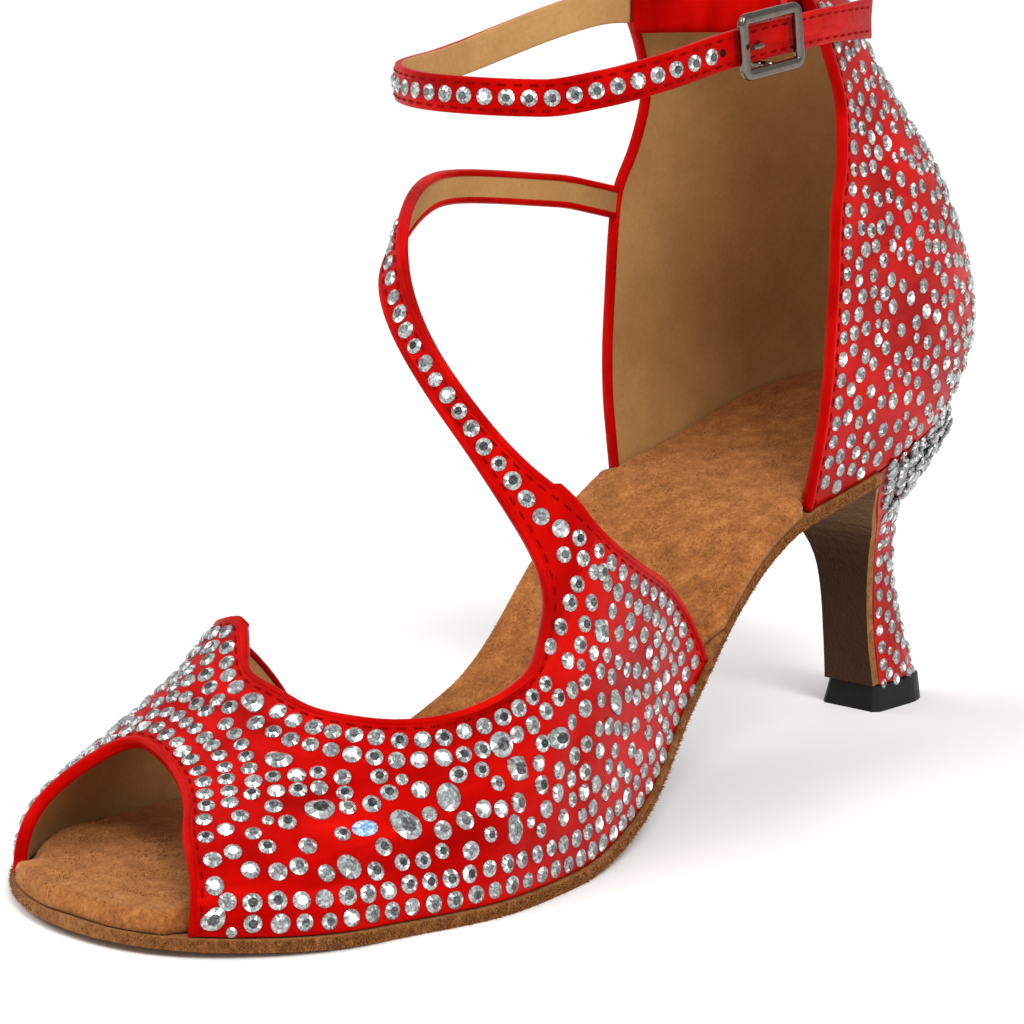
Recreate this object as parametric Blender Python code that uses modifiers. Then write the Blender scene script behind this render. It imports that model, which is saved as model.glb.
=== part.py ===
"""Left open-toe ballroom dance sandal on a flared heel, modelled empty and standing on its sole.

Metres, +Z up, toe toward -Y, heel toward +Y, the outer side of the shoe toward +X.
The upper is one hollow wall over the last: a vamp, an instep strap and a heel counter, joined
where they cross. Each form is a grid over the last, thickened inward, so the inside stays open.
"""

import math

import bmesh
import bpy
import numpy as np
from mathutils import Vector

# Driving dimensions
LENGTH = 0.2215
BALL_WIDTH = 0.0784
HEEL_HEIGHT = 0.062
INSTEP_HEIGHT = 0.130
COUNTER_HEIGHT = 0.078
OUTSOLE = 0.0020
INSOLE = 0.0032
WALL = 0.0016
GAP = 0.0003
SOLE_LEDGE = 0.0008
TOE_ROOM = 0.0013

# Heel and its tip
TIP_THICKNESS = 0.0050
TIP_WIDTH = 0.0120
TIP_LENGTH = 0.0190
TIP_FRONT = 0.0156
BREAST = 0.192
TIP_FLARE = 0.0009

# Straps and buckle
INSTEP_STRAP_WIDTH = 0.0056
ANKLE_STRAP_WIDTH = 0.0062
ANKLE_STRAP_THICKNESS = 0.0015
BUCKLE_STRAP_WIDTH = 0.0060
LOOP_THICKNESS = 0.0010
RING_LENGTH = 0.1040
RING_WIDTH = 0.0630
RING_CENTRE = 0.0280
RING_SIDE = -0.0023
RING_POWER = 2.1
RING_END = -165.0
TAIL_END = 36.0
TAIL_FLARE = 0.0010
BUCKLE_AT = -5.6
CHANNEL_DEPTH = 0.0036
CHANNEL_EXIT = 0.0030
FLAP_LENGTH = 0.0085
BUCKLE_HEIGHT = 0.0114
BUCKLE_LENGTH = 0.0160
BUCKLE_WIRE = 0.0019
BUCKLE_THICKNESS = 0.0014
BUCKLE_CORNER = 0.0018
BAR_RADIUS = 0.0006
PRONG_RADIUS = 0.0005


def rows(names, *values):
    """A table: its column names in one string, then its rows."""
    return {name: np.array(column, float) for name, column in zip(names.split(), zip(*values))}


# Plan of the sole: along is a share of LENGTH from the heel, the others are shares of BALL_WIDTH
PLAN = rows(
    "along half centre",
    (0.00, 0.310, 0.000),
    (0.15, 0.312, 0.000),
    (0.25, 0.314, 0.006),
    (0.35, 0.305, 0.026),
    (0.45, 0.310, 0.044),
    (0.55, 0.382, 0.053),
    (0.65, 0.460, 0.050),
    (0.75, 0.499, 0.041),
    (0.85, 0.466, 0.018),
    (0.93, 0.430, 0.016),
    (1.00, 0.400, 0.038),
)
HEEL_ROUND = 0.18
TOE_ROUND = 0.14
ROUND_POWER = 2.15

# Height of the sole's underside as a share of HEEL_HEIGHT
PROFILE = rows(
    "along rise",
    (0.00, 1.000),
    (0.05, 0.973),
    (0.10, 0.932),
    (0.15, 0.881),
    (0.20, 0.828),
    (0.25, 0.790),
    (0.30, 0.752),
    (0.35, 0.672),
    (0.40, 0.536),
    (0.45, 0.345),
    (0.50, 0.177),
    (0.55, 0.074),
    (0.60, 0.022),
    (0.66, 0.000),
    (0.80, 0.000),
    (1.00, 0.024),
)

# Top of the last over the insole as a share of INSTEP_HEIGHT, where its ridge runs as a share
# of the half width, and how full its two sides are
CREST = rows(
    "along height ridge outer inner",
    (0.40, 1.000, -0.10, 2.3, 2.3),
    (0.50, 0.980, -0.12, 2.3, 2.3),
    (0.56, 0.940, -0.15, 2.2, 2.3),
    (0.61, 0.830, -0.18, 2.1, 2.2),
    (0.65, 0.670, -0.22, 2.0, 2.0),
    (0.70, 0.490, -0.26, 2.0, 1.8),
    (0.75, 0.360, -0.30, 2.0, 1.65),
    (0.82, 0.238, -0.32, 2.0, 1.75),
    (0.90, 0.155, -0.30, 2.1, 2.0),
    (1.00, 0.100, -0.20, 2.2, 2.2),
)

# Both edges of the vamp, from the outer sole edge over the toes to the inner one. Turn is 0 at
# the outer sole edge, 0.5 at the ridge and 1 at the inner sole edge.
VAMP = rows(
    "row toe_along toe_turn top_along top_turn",
    (0.00, 0.971, 0.000, 0.435, 0.000),
    (0.07, 0.970, 0.040, 0.478, 0.043),
    (0.15, 0.969, 0.080, 0.550, 0.098),
    (0.18, 0.968, 0.091, 0.573, 0.117),
    (0.20, 0.968, 0.098, 0.588, 0.133),
    (0.22, 0.967, 0.105, 0.602, 0.150),
    (0.40, 0.964, 0.155, 0.680, 0.160),
    (0.46, 0.960, 0.200, 0.703, 0.171),
    (0.52, 0.954, 0.250, 0.732, 0.193),
    (0.58, 0.944, 0.305, 0.765, 0.228),
    (0.64, 0.920, 0.370, 0.795, 0.285),
    (0.70, 0.896, 0.445, 0.813, 0.366),
    (0.75, 0.883, 0.520, 0.812, 0.440),
    (0.80, 0.886, 0.580, 0.782, 0.514),
    (0.85, 0.904, 0.640, 0.776, 0.605),
    (0.90, 0.930, 0.720, 0.752, 0.715),
    (0.95, 0.952, 0.850, 0.692, 0.855),
    (1.00, 0.960, 1.000, 0.615, 1.000),
)
NECK_REAR = 0.22
NECK_FRONT = 0.40

# The instep strap on the last, from its neck on the vamp up to the ridge: its rear and front edges
STRAP = rows(
    "reach rear_along rear_turn front_along front_turn",
    (0.00, 0.602, 0.150, 0.680, 0.160),
    (0.07, 0.618, 0.180, 0.659, 0.176),
    (0.14, 0.631, 0.212, 0.657, 0.204),
    (0.22, 0.642, 0.243, 0.665, 0.243),
    (0.34, 0.654, 0.300, 0.671, 0.316),
    (0.46, 0.658, 0.352, 0.671, 0.372),
    (0.58, 0.657, 0.410, 0.667, 0.428),
    (0.72, 0.646, 0.482, 0.656, 0.500),
    (0.86, 0.630, 0.548, 0.641, 0.572),
    (1.00, 0.608, 0.612, 0.622, 0.640),
)

# The strap's way back along the inner side to the counter: its middle, as shares of LENGTH, of
# BALL_WIDTH and of INSTEP_HEIGHT
STRAP_INSIDE = rows(
    "step along side rise",
    (0.0, 0.560, -0.262, 0.823),
    (1.0, 0.500, -0.325, 0.826),
    (2.0, 0.440, -0.350, 0.820),
    (3.0, 0.380, -0.355, 0.810),
    (4.0, 0.330, -0.350, 0.802),
)

# The counter by height: shares of COUNTER_HEIGHT over the seat's back, of the seat's half width
# and of LENGTH for its back and front edges, and how far it narrows toward the tendon
COUNTER = rows(
    "rise half back front slim",
    (0.00, 1.00, -0.002, 0.293, 0.00),
    (0.09, 1.06, -0.024, 0.292, 0.00),
    (0.17, 1.11, -0.029, 0.291, 0.00),
    (0.29, 1.14, -0.022, 0.289, 0.02),
    (0.44, 1.14, 0.005, 0.286, 0.06),
    (0.58, 1.12, 0.036, 0.283, 0.13),
    (0.68, 1.06, 0.070, 0.268, 0.20),
    (0.78, 1.00, 0.104, 0.262, 0.28),
    (0.88, 0.97, 0.134, 0.276, 0.34),
    (1.00, 0.95, 0.162, 0.308, 0.38),
)
STRAP_LOW = 0.535
STRAP_HIGH = 0.595

# The heel by height: shares of the seat's half width, and of LENGTH for its breast and its back
HEEL = rows(
    "rise half front back",
    (0.0, 0.250, 0.0756, -0.0145),
    (0.1, 0.238, 0.0792, -0.0030),
    (0.2, 0.231, 0.0828, 0.0095),
    (0.3, 0.230, 0.0856, 0.0200),
    (0.4, 0.238, 0.0882, 0.0265),
    (0.5, 0.258, 0.0912, 0.0290),
    (0.6, 0.305, 0.0970, 0.0285),
    (0.7, 0.405, 0.1090, 0.0262),
    (0.8, 0.570, 0.1340, 0.0200),
    (0.9, 0.790, 0.1640, 0.0097),
    (1.0, 0.990, 0.1920, 0.0006),
)

# The ankle strap's ring seen from above, by degrees from the outer side toward the back: its
# height as a share of the height of the counter's top, and how far its tail stands out as a
# share of RING_WIDTH
RING = rows(
    "degrees rise out",
    (-180.0, 0.925, 0.000),
    (-150.0, 0.897, 0.000),
    (-120.0, 0.890, 0.000),
    (-90.0, 0.884, 0.000),
    (-60.0, 0.882, 0.000),
    (-45.0, 0.893, 0.000),
    (-30.0, 0.912, 0.000),
    (-15.0, 0.935, 0.000),
    (0.0, 0.951, 0.000),
    (15.0, 0.962, 0.004),
    (30.0, 0.966, 0.012),
    (40.0, 0.967, 0.020),
)


def smooth(table, name, where):
    """Reads a column of a table at any place, by a cubic that never overshoots its rows."""
    x = table[next(iter(table))]
    y = table[name]
    where = np.clip(np.asarray(where, float), x[0], x[-1])
    slope = np.diff(y) / np.diff(x)
    inner = np.where(slope[1:] * slope[:-1] > 0, slope[1:] * slope[:-1], 0.0)
    middle = 2.0 * inner / np.where(inner > 0, slope[1:] + slope[:-1], 1.0)
    tangent = np.concatenate([slope[:1], middle, slope[-1:]])
    i = np.clip(np.searchsorted(x, where, side="right") - 1, 0, len(x) - 2)
    step = x[i + 1] - x[i]
    t = (where - x[i]) / step
    return (
        (2 * t**3 - 3 * t**2 + 1) * y[i]
        + (t**3 - 2 * t**2 + t) * step * tangent[i]
        + (3 * t**2 - 2 * t**3) * y[i + 1]
        + (t**3 - t**2) * step * tangent[i + 1]
    )


def round_ends(along):
    """Closes the plan at the heel and the toe with round ends."""
    heel = np.clip(1 - along / HEEL_ROUND, 0, 1)
    toe = np.clip(1 - (1 - along) / TOE_ROUND, 0, 1)
    closing = (1 - heel**ROUND_POWER) * (1 - toe**ROUND_POWER)
    return np.maximum(closing, 0) ** (1 / ROUND_POWER)


def plan(along, inset=0.0):
    """Outer and inner x of the sole's edge at a share of the length, moved in by the inset."""
    along = np.asarray(along, float)
    half = BALL_WIDTH * smooth(PLAN, "half", along) * round_ends(along)
    half = np.maximum(half - inset, 0)
    centre = BALL_WIDTH * smooth(PLAN, "centre", along)
    return centre + half, centre - half


def y_of(along, inset=0.0):
    """Y at a share of the length; an inset pulls both ends in."""
    return (0.5 - np.asarray(along, float)) * (LENGTH - 2 * inset)


def underside(along):
    """Height of the sole's underside."""
    return HEEL_HEIGHT * smooth(PROFILE, "rise", along)


def seat(along):
    """Height on which the upper and the insole stand."""
    return underside(along) + OUTSOLE + GAP


def last(along, turn):
    """A point of the last's side or top: turn runs from the outer sole edge over the ridge."""
    along = np.asarray(along, float)
    turn = np.asarray(turn, float)
    outer, inner = plan(along, SOLE_LEDGE)
    ridge = (outer + inner) / 2 + (outer - inner) / 2 * smooth(CREST, "ridge", along)
    side = np.where(turn < 0.5, outer - ridge, inner - ridge)
    power = np.where(turn < 0.5, smooth(CREST, "outer", along), smooth(CREST, "inner", along))
    cosine = np.abs(np.cos(np.pi * turn)) ** (2 / power)
    sine = np.abs(np.sin(np.pi * turn)) ** (2 / power)
    x = ridge + side * cosine
    z = seat(along) + INSTEP_HEIGHT * smooth(CREST, "height", along) * sine
    return np.stack([x, y_of(along), z], -1)


def counter(rise, turn):
    """A point of the heel counter: rise 0 at its foot, 1 at its top; turn from outer to inner edge."""
    rise = np.asarray(rise, float)
    foot_front = COUNTER["front"][0]
    front = smooth(COUNTER, "front", rise)
    back = smooth(COUNTER, "back", rise)
    around = np.abs(2 * np.asarray(turn, float) - 1)
    foot = foot_front * (1 - np.cos(np.pi / 2 * around))
    share = foot / foot_front
    outer, inner = plan(foot, SOLE_LEDGE)
    along = back + (front - back) * share
    centre = (outer + inner) / 2
    edge = np.where(np.asarray(turn) < 0.5, outer, inner)
    narrow = 1 - smooth(COUNTER, "slim", rise) * (1 - share)
    x = centre + (edge - centre) * smooth(COUNTER, "half", rise) * narrow
    lean = 1 - rise
    z = seat(foot) * lean + (seat(0.0) + COUNTER_HEIGHT) * rise
    return np.stack([x, y_of(along), z], -1)


def between(start, end, share):
    return start + (end - start) * share


def subdivide(stops, steps):
    """Places each interval of a list of stops evenly in as many steps as its entry says."""
    pieces = [np.linspace(a, b, n, endpoint=False) for a, b, n in zip(stops[:-1], stops[1:], steps)]
    return np.append(np.concatenate(pieces), stops[-1])


def vamp_grid(across, down):
    """The vamp from its toe edge (down 0) to its top edge (down 1), a column for each row of VAMP."""
    across, down = np.meshgrid(across, down)
    along = between(smooth(VAMP, "toe_along", across), smooth(VAMP, "top_along", across), down)
    turn = between(smooth(VAMP, "toe_turn", across), smooth(VAMP, "top_turn", across), down)
    return last(along, turn)


def strap_grid(columns, reaches, steps):
    """The instep strap: from the vamp's edge over the ridge, then back along the inner side.

    Its first row lies on the vamp's own edge and its last row on the counter's front edge.
    """
    root = vamp_grid(between(NECK_REAR, NECK_FRONT, columns), [1.0])
    share, reach = np.meshgrid(columns, reaches)
    along = between(smooth(STRAP, "rear_along", reach), smooth(STRAP, "front_along", reach), share)
    turn = between(smooth(STRAP, "rear_turn", reach), smooth(STRAP, "front_turn", reach), share)
    share, step = np.meshgrid(columns, steps)
    x = BALL_WIDTH * smooth(STRAP_INSIDE, "side", step)
    y = y_of(smooth(STRAP_INSIDE, "along", step))
    z = INSTEP_HEIGHT * smooth(STRAP_INSIDE, "rise", step) + INSTEP_STRAP_WIDTH * (0.5 - share)
    end = counter(between(STRAP_HIGH, STRAP_LOW, columns), 1.0)[None]
    return np.concatenate([root, last(along, turn), np.stack([x, y, z], -1), end])


def inward(points):
    """Horizontal unit vectors at right angles to a line of points, toward the shoe's inside."""
    step = np.gradient(points[:, :2], axis=0)
    side = np.stack([-step[:, 1], step[:, 0], np.zeros(len(step))], -1)
    return side / np.linalg.norm(side, axis=1)[:, None]


def fold_radius():
    """Radius of the fold over the channel that holds the ankle strap."""
    return WALL + 2 * GAP + ANKLE_STRAP_THICKNESS / 2


def counter_grid(turns, rises, folds, flaps):
    """The counter's wall up to its top, folded over and down inside to hold the ankle strap."""
    wall = counter(*np.meshgrid(rises, turns, indexing="ij"))
    top = wall[-1]
    side = inward(top)
    up = np.array([0.0, 0.0, 1.0])
    radius = fold_radius()
    over = [top + side * radius * (1 - math.cos(a)) + up * radius * math.sin(a) for a in folds]
    inner = [top + side * 2 * radius - up * FLAP_LENGTH * share for share in flaps]
    return np.concatenate([wall, over, inner])


def breast(rise, lift=0.0):
    """Y and z of the breast's face by height, set back from it by a lift."""
    fine = np.linspace(0, 1, 60)
    y = y_of(smooth(HEEL, "front", fine))
    z = between(TIP_THICKNESS + GAP, underside(BREAST), fine)
    along = np.stack([np.gradient(y), np.gradient(z)])
    along /= np.linalg.norm(along, axis=0)
    y = y + along[1] * lift
    z = z - along[0] * lift
    return np.interp(rise, fine, y), np.interp(rise, fine, z)


def heel_ring(rise, turns):
    """One ring of the heel, from the outer breast edge round the back to the inner one."""
    around = np.abs(2 * turns - 1)
    foot = BREAST * (1 - np.cos(np.pi / 2 * around))
    outer, inner = plan(foot, SOLE_LEDGE)
    centre = (outer + inner) / 2
    edge = np.where(turns < 0.5, outer, inner)
    x = centre + (edge - centre) * smooth(HEEL, "half", rise)
    z = between(TIP_THICKNESS + GAP, underside(foot) + OUTSOLE, rise)
    fine = np.linspace(0, 1, 60)
    faces = breast(fine, OUTSOLE + GAP)
    front = np.interp(z[0], faces[1], faces[0])
    back = y_of(smooth(HEEL, "back", rise))
    return np.stack([x, between(back, front, foot / BREAST), z], -1)


def tip_ring(grow, z, count):
    """The heel tip's outline: a straight front, straight sides and a round back."""
    turns = np.linspace(0, np.pi, count)
    half = TIP_WIDTH / 2 + grow
    front = y_of(0.0) - TIP_FRONT - grow
    straight = TIP_LENGTH - TIP_WIDTH * 0.62
    x = half * np.cos(turns)
    y = front + straight + (TIP_WIDTH * 0.62 + grow * 2) * np.sin(turns)
    corner = 0.16 * half
    x = np.concatenate([[half - corner, half], x, [-half, corner - half]])
    y = np.concatenate([[front, front + corner], y, [front + corner, front]])
    return np.stack([x, y, np.full(len(x), z)], -1)


def ring_point(degrees):
    """A point of the ankle strap's ring round the ankle."""
    angle = np.radians(degrees)
    power = 2 / RING_POWER
    x = RING_SIDE + RING_WIDTH / 2 * np.sign(np.cos(angle)) * np.abs(np.cos(angle)) ** power
    y = RING_CENTRE + RING_LENGTH / 2 * np.sign(np.sin(angle)) * np.abs(np.sin(angle)) ** power
    x = x + RING_WIDTH * smooth(RING, "out", degrees)
    z = (seat(0.0) + COUNTER_HEIGHT) * smooth(RING, "rise", degrees)
    return np.stack([x, y, z], -1)


def channel(turns):
    """The middle of the folded channel at the counter's top, from outer to inner turns."""
    top = counter(1.0, turns)
    return top + inward(top) * (fold_radius() + 0.8 * GAP) - np.array([0.0, 0.0, CHANNEL_DEPTH])


def bridge(start, end, before, after, count):
    """Joins two paths by a cubic, leaving the first and meeting the second in their directions."""
    t = np.linspace(0, 1, count + 2)[1:-1, None]
    reach = np.linalg.norm(end - start)
    pull = before / np.linalg.norm(before) * reach
    meet = after / np.linalg.norm(after) * reach
    a = (2 * t**3 - 3 * t**2 + 1) * start + (t**3 - 2 * t**2 + t) * pull
    return a + (3 * t**2 - 2 * t**3) * end + (t**3 - t**2) * meet


def join(first, second, count):
    """One path made of two with a smooth bridge between them."""
    gap = bridge(first[-1], second[0], first[-1] - first[-2], second[1] - second[0], count)
    return np.concatenate([first, gap, second])


def directions(path, upright=(0.0, 0.0, 1.0)):
    """Along, outward and up unit vectors at each point of a strap's path."""
    along = np.gradient(path, axis=0)
    along /= np.linalg.norm(along, axis=1)[:, None]
    out = np.cross(np.array(upright), along)
    out /= np.linalg.norm(out, axis=1)[:, None]
    return along, out, np.cross(along, out)


def mesh_object(name, points, faces):
    mesh = bpy.data.meshes.new(name)
    mesh.from_pydata([tuple(p) for p in points], [], faces)
    made = bpy.data.objects.new(name, mesh)
    shoe.objects.link(made)
    made.parent = origin
    return made


def grid_faces(count_rows, count_columns, first=0):
    return [
        (first + r * count_columns + c, first + r * count_columns + c + 1,
         first + (r + 1) * count_columns + c + 1, first + (r + 1) * count_columns + c)
        for r in range(count_rows - 1)
        for c in range(count_columns - 1)
    ]


def ladder(ring, flip):
    """Closes a ring whose two halves mirror each other, by rungs between its sides."""
    count = len(ring)
    rungs = []
    for i in range(count // 2):
        a, b, c, d = ring[i], ring[i + 1], ring[count - 2 - i], ring[count - 1 - i]
        rungs.append((a, b, d) if b == c else (a, b, c, d))
    rungs = [r for r in rungs if len(set(r)) == len(r)]
    return [tuple(reversed(r)) for r in rungs] if flip else rungs


def tidy(made):
    """Points every face of a solid outward, with sharp edges kept sharp."""
    form = bmesh.new()
    form.from_mesh(made.data)
    bmesh.ops.remove_doubles(form, verts=form.verts, dist=0.00001)
    bmesh.ops.recalc_face_normals(form, faces=form.faces)
    form.to_mesh(made.data)
    form.free()
    made.data.shade_smooth()
    made.data.set_sharp_from_angle(angle=math.radians(40))
    return made


def loft(name, rings):
    """A solid through rings of the same count of points, closed by rungs at both ends."""
    count = len(rings[0])
    points = np.concatenate(rings)
    faces = []
    for r in range(len(rings) - 1):
        for c in range(count):
            d = (c + 1) % count
            faces.append((r * count + c, r * count + d, (r + 1) * count + d, (r + 1) * count + c))
    faces += ladder(list(range(count)), True)
    faces += ladder(list(range(len(points) - count, len(points))), False)
    return tidy(mesh_object(name, points, faces))


def ribbon(name, path, width, thickness, upright=(0.0, 0.0, 1.0)):
    """A flat strap along a path, standing on edge."""
    out, up = directions(path, upright)[1:]
    width = np.broadcast_to(width, len(path))[:, None]
    rings = []
    for p, o, u, w in zip(path, out, up, width):
        side = o * thickness / 2
        edge = u * w / 2
        rings.append(np.array([p + side - edge, p + side + edge, p - side + edge, p - side - edge]))
    return loft(name, rings)


def tube(name, path, radius, sides):
    """A round wire along a path, with flat ends."""
    along = np.gradient(path, axis=0)
    along /= np.linalg.norm(along, axis=1)[:, None]
    side = np.cross(along[0], np.array([0.3, 0.2, 0.9]))
    angles = np.linspace(0, 2 * np.pi, sides, endpoint=False)[:, None]
    rings = []
    for p, a in zip(path, along):
        side = side - a * np.dot(side, a)
        side /= np.linalg.norm(side)
        rings.append(p + radius * (np.cos(angles) * side + np.sin(angles) * np.cross(a, side)))
    return loft(name, rings)


def material(made, hex_colour, roughness, metallic=0.0):
    colour = [int(hex_colour[i:i + 2], 16) / 255 for i in (0, 2, 4)]
    linear = [c / 12.92 if c <= 0.04045 else ((c + 0.055) / 1.055) ** 2.4 for c in colour]
    look = bpy.data.materials.new(made.name)
    look.use_nodes = True
    shader = look.node_tree.nodes["Principled BSDF"]
    shader.inputs["Base Color"].default_value = (*linear, 1.0)
    shader.inputs["Roughness"].default_value = roughness
    shader.inputs["Metallic"].default_value = metallic
    look.diffuse_color = (*linear, 1.0)
    made.data.materials.append(look)


def boolean(made, other, operation):
    shoe.objects.unlink(other)
    cutters.objects.link(other)
    other.hide_render = True
    other.display_type = "WIRE"
    change = made.modifiers.new(operation.lower(), "BOOLEAN")
    change.solver = "EXACT"
    change.operation = operation
    change.object = other


def build_upper():
    """Vamp, instep strap and counter as one open sheet, thickened inward by the wall."""
    neck_steps = 4
    neck = np.linspace(NECK_REAR, NECK_FRONT, neck_steps + 1)
    ends = [0.0, 0.025, 0.05, 0.08, 0.115, 0.15, 0.185]
    across = np.concatenate([ends, neck, np.linspace(0.43, 0.94, 18), [0.96, 0.98, 1.0]])
    down = subdivide([0.0, 0.08, 0.55, 1.0], [1, 8, 9])
    strap = strap_grid(
        np.linspace(0, 1, neck_steps + 1), np.linspace(0.06, 1.0, 20), np.arange(5) * 0.97
    )
    low = subdivide([0.0, 0.17, 0.44, STRAP_LOW], [3, 4, 2])
    high = subdivide([STRAP_HIGH, 0.76, 1.0], [4, 5])
    rises = np.concatenate([low[:-1], np.linspace(STRAP_LOW, STRAP_HIGH, neck_steps + 1), high[1:]])
    turns = np.linspace(0, 1, 33)
    folds = np.linspace(0, np.pi, 6)[1:]
    back = counter_grid(turns, rises, folds, [0.5, 1.0])
    points = []
    faces = []
    for grid in (vamp_grid(across, down), strap, back):
        faces += grid_faces(*grid.shape[:2], first=sum(len(p) for p in points))
        points.append(grid.reshape(-1, 3))
    made = mesh_object("upper", np.concatenate(points), faces)
    tidy(made)
    middle = Vector((0.0, 0.0, INSTEP_HEIGHT / 2))
    outward = sum(f.normal.dot(f.center - middle) * f.area for f in made.data.polygons)
    if outward < 0:
        made.data.flip_normals()
    wall = made.modifiers.new("wall", "SOLIDIFY")
    wall.thickness = WALL
    wall.offset = -1
    return made


def sole_ends(first, final, count):
    """Shares of the length, close together where the heel and the toe are round."""
    turn = np.linspace(0, np.pi / 2, count)[1:]
    heel = HEEL_ROUND * (1 - np.cos(turn))
    toe = 1 - TOE_ROUND * (1 - np.cos(turn))[::-1]
    heel = heel[heel > first * 1.5]
    toe = toe[1 - toe > (1 - final) * 1.5]
    return heel, toe


def outsole_rings():
    toe = sole_ends(0.0, 0.9998, 12)[1]
    flat = np.linspace(toe[0], BREAST, 40)
    alongs = np.concatenate([[0.9998], toe[::-1], flat[1:]])
    rings = []
    for along in alongs:
        outer, inner = plan(along)
        low = underside(along)
        y = y_of(along)
        top = low + OUTSOLE
        rings.append(np.array([[outer, y, low], [outer, y, top], [inner, y, top], [inner, y, low]]))
    outer, inner = plan(BREAST, SOLE_LEDGE)
    for rise in np.linspace(0.96, 0.0, 22):
        half = (outer - inner) / 2 * smooth(HEEL, "half", rise)
        centre = (outer + inner) / 2
        y, z = breast(rise)
        back, top = breast(rise, OUTSOLE)
        top = max(top, TIP_THICKNESS + GAP)
        rings.append(np.array([
            [centre + half, y, z], [centre + half, back, top],
            [centre - half, back, top], [centre - half, y, z],
        ]))
    return rings


def insole_inset(along, vamp_rear, vamp_front):
    """Set in behind the upper's wall, and out to the sole's edge where the shoe is open."""
    ramp = 0.006
    front = COUNTER["front"][0] + ramp
    stops = (front, front + ramp, vamp_rear - 3 * ramp, vamp_rear - 2 * ramp)
    stops += (vamp_front + ramp, vamp_front + 1.6 * ramp)
    deep = SOLE_LEDGE + WALL + GAP
    return np.interp(along, stops, (deep, GAP, GAP, deep, deep, GAP))


def lean_in(along, height, side):
    """How far the last's side leans in at a height over the seat, on its outer or inner side."""
    outer, inner = plan(along, SOLE_LEDGE)
    ridge = smooth(CREST, "ridge", along)
    half = (outer - inner) / 2 * (1 - ridge if side == "outer" else 1 + ridge)
    power = smooth(CREST, side, along)
    share = np.clip(height / (INSTEP_HEIGHT * smooth(CREST, "height", along)), 0, 0.9)
    return half * (1 - (1 - share**power) ** (1 / power))


def insole_edge(along, side):
    """Bottom and top points of the insole's side, moved in squarely from the sole's edge."""
    index, sign = (0, 1) if side == "outer" else (1, -1)
    end = 0 if side == "outer" else -1
    step = 0.0002
    near = plan(np.array([along - step, along + step]))[index]
    slope = (near[0] - near[1]) / (2 * step * LENGTH)
    square = 1 / np.hypot(1, slope)
    inset = insole_inset(along, VAMP["top_along"][end], VAMP["toe_along"][end])
    points = []
    for height in (0.0, INSOLE):
        lean = 1.3 * square * lean_in(along, height, side) + 3 * GAP
        lean += TOE_ROOM * np.interp(along, (0.90, 0.95), (0, 1))
        under_vamp = inset > 2 * GAP and along > VAMP["top_along"][end] - 0.02
        move = inset + lean if under_vamp and height else inset
        x = plan(along)[index] - sign * move * square
        y = y_of(along) + sign * move * slope * square
        points.append((x, y, seat(along) + height))
    return points


def insole_rings():
    heel, toe = sole_ends(0.0004, 0.9996, 12)
    waist = np.linspace(heel[-1], toe[0], 60)
    alongs = np.concatenate([[0.0004], heel, waist[1:-1], toe, [0.9996]])
    return [
        np.array(insole_edge(along, "outer") + insole_edge(along, "inner")[::-1])
        for along in alongs
    ]


def leave_channel(held):
    """Adds a short straight step out of the channel before the path's first point."""
    step = held[0] - held[1]
    return np.concatenate([[held[0] + step / np.linalg.norm(step) * CHANNEL_EXIT], held])


def ankle_path():
    ring = ring_point(np.linspace(TAIL_END, RING_END, 40))
    return join(ring, leave_channel(channel(np.linspace(0.56, 1.0, 15))[::-1]), 6)


def buckle_frame():
    """The buckle's place on the ankle strap and its along, outward and up directions."""
    path = ring_point(np.linspace(BUCKLE_AT + 1, BUCKLE_AT - 1, 3))
    along, out, up = directions(path)
    return path[1], along[1], out[1], up[1]


def framed(place, along_mm, out_mm, up_mm):
    """Points given by their distances along, outward and up from the buckle's middle."""
    middle, along, out, up = place
    along_mm, out_mm, up_mm = np.broadcast_arrays(along_mm, out_mm, up_mm)
    return middle + along * along_mm[..., None] + out * out_mm[..., None] + up * up_mm[..., None]


def rounded_rectangle(length, height, corner, steps):
    """Corners of a rounded rectangle as (along, up) pairs."""
    pairs = []
    for quarter, (sx, sy) in enumerate(((1, 1), (-1, 1), (-1, -1), (1, -1))):
        turns = np.pi / 2 * quarter + np.linspace(0, np.pi / 2, steps)
        x = sx * (length / 2 - corner) + corner * np.cos(turns)
        y = sy * (height / 2 - corner) + corner * np.sin(turns)
        pairs.append(np.stack([x, y], -1))
    return np.concatenate(pairs)


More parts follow.
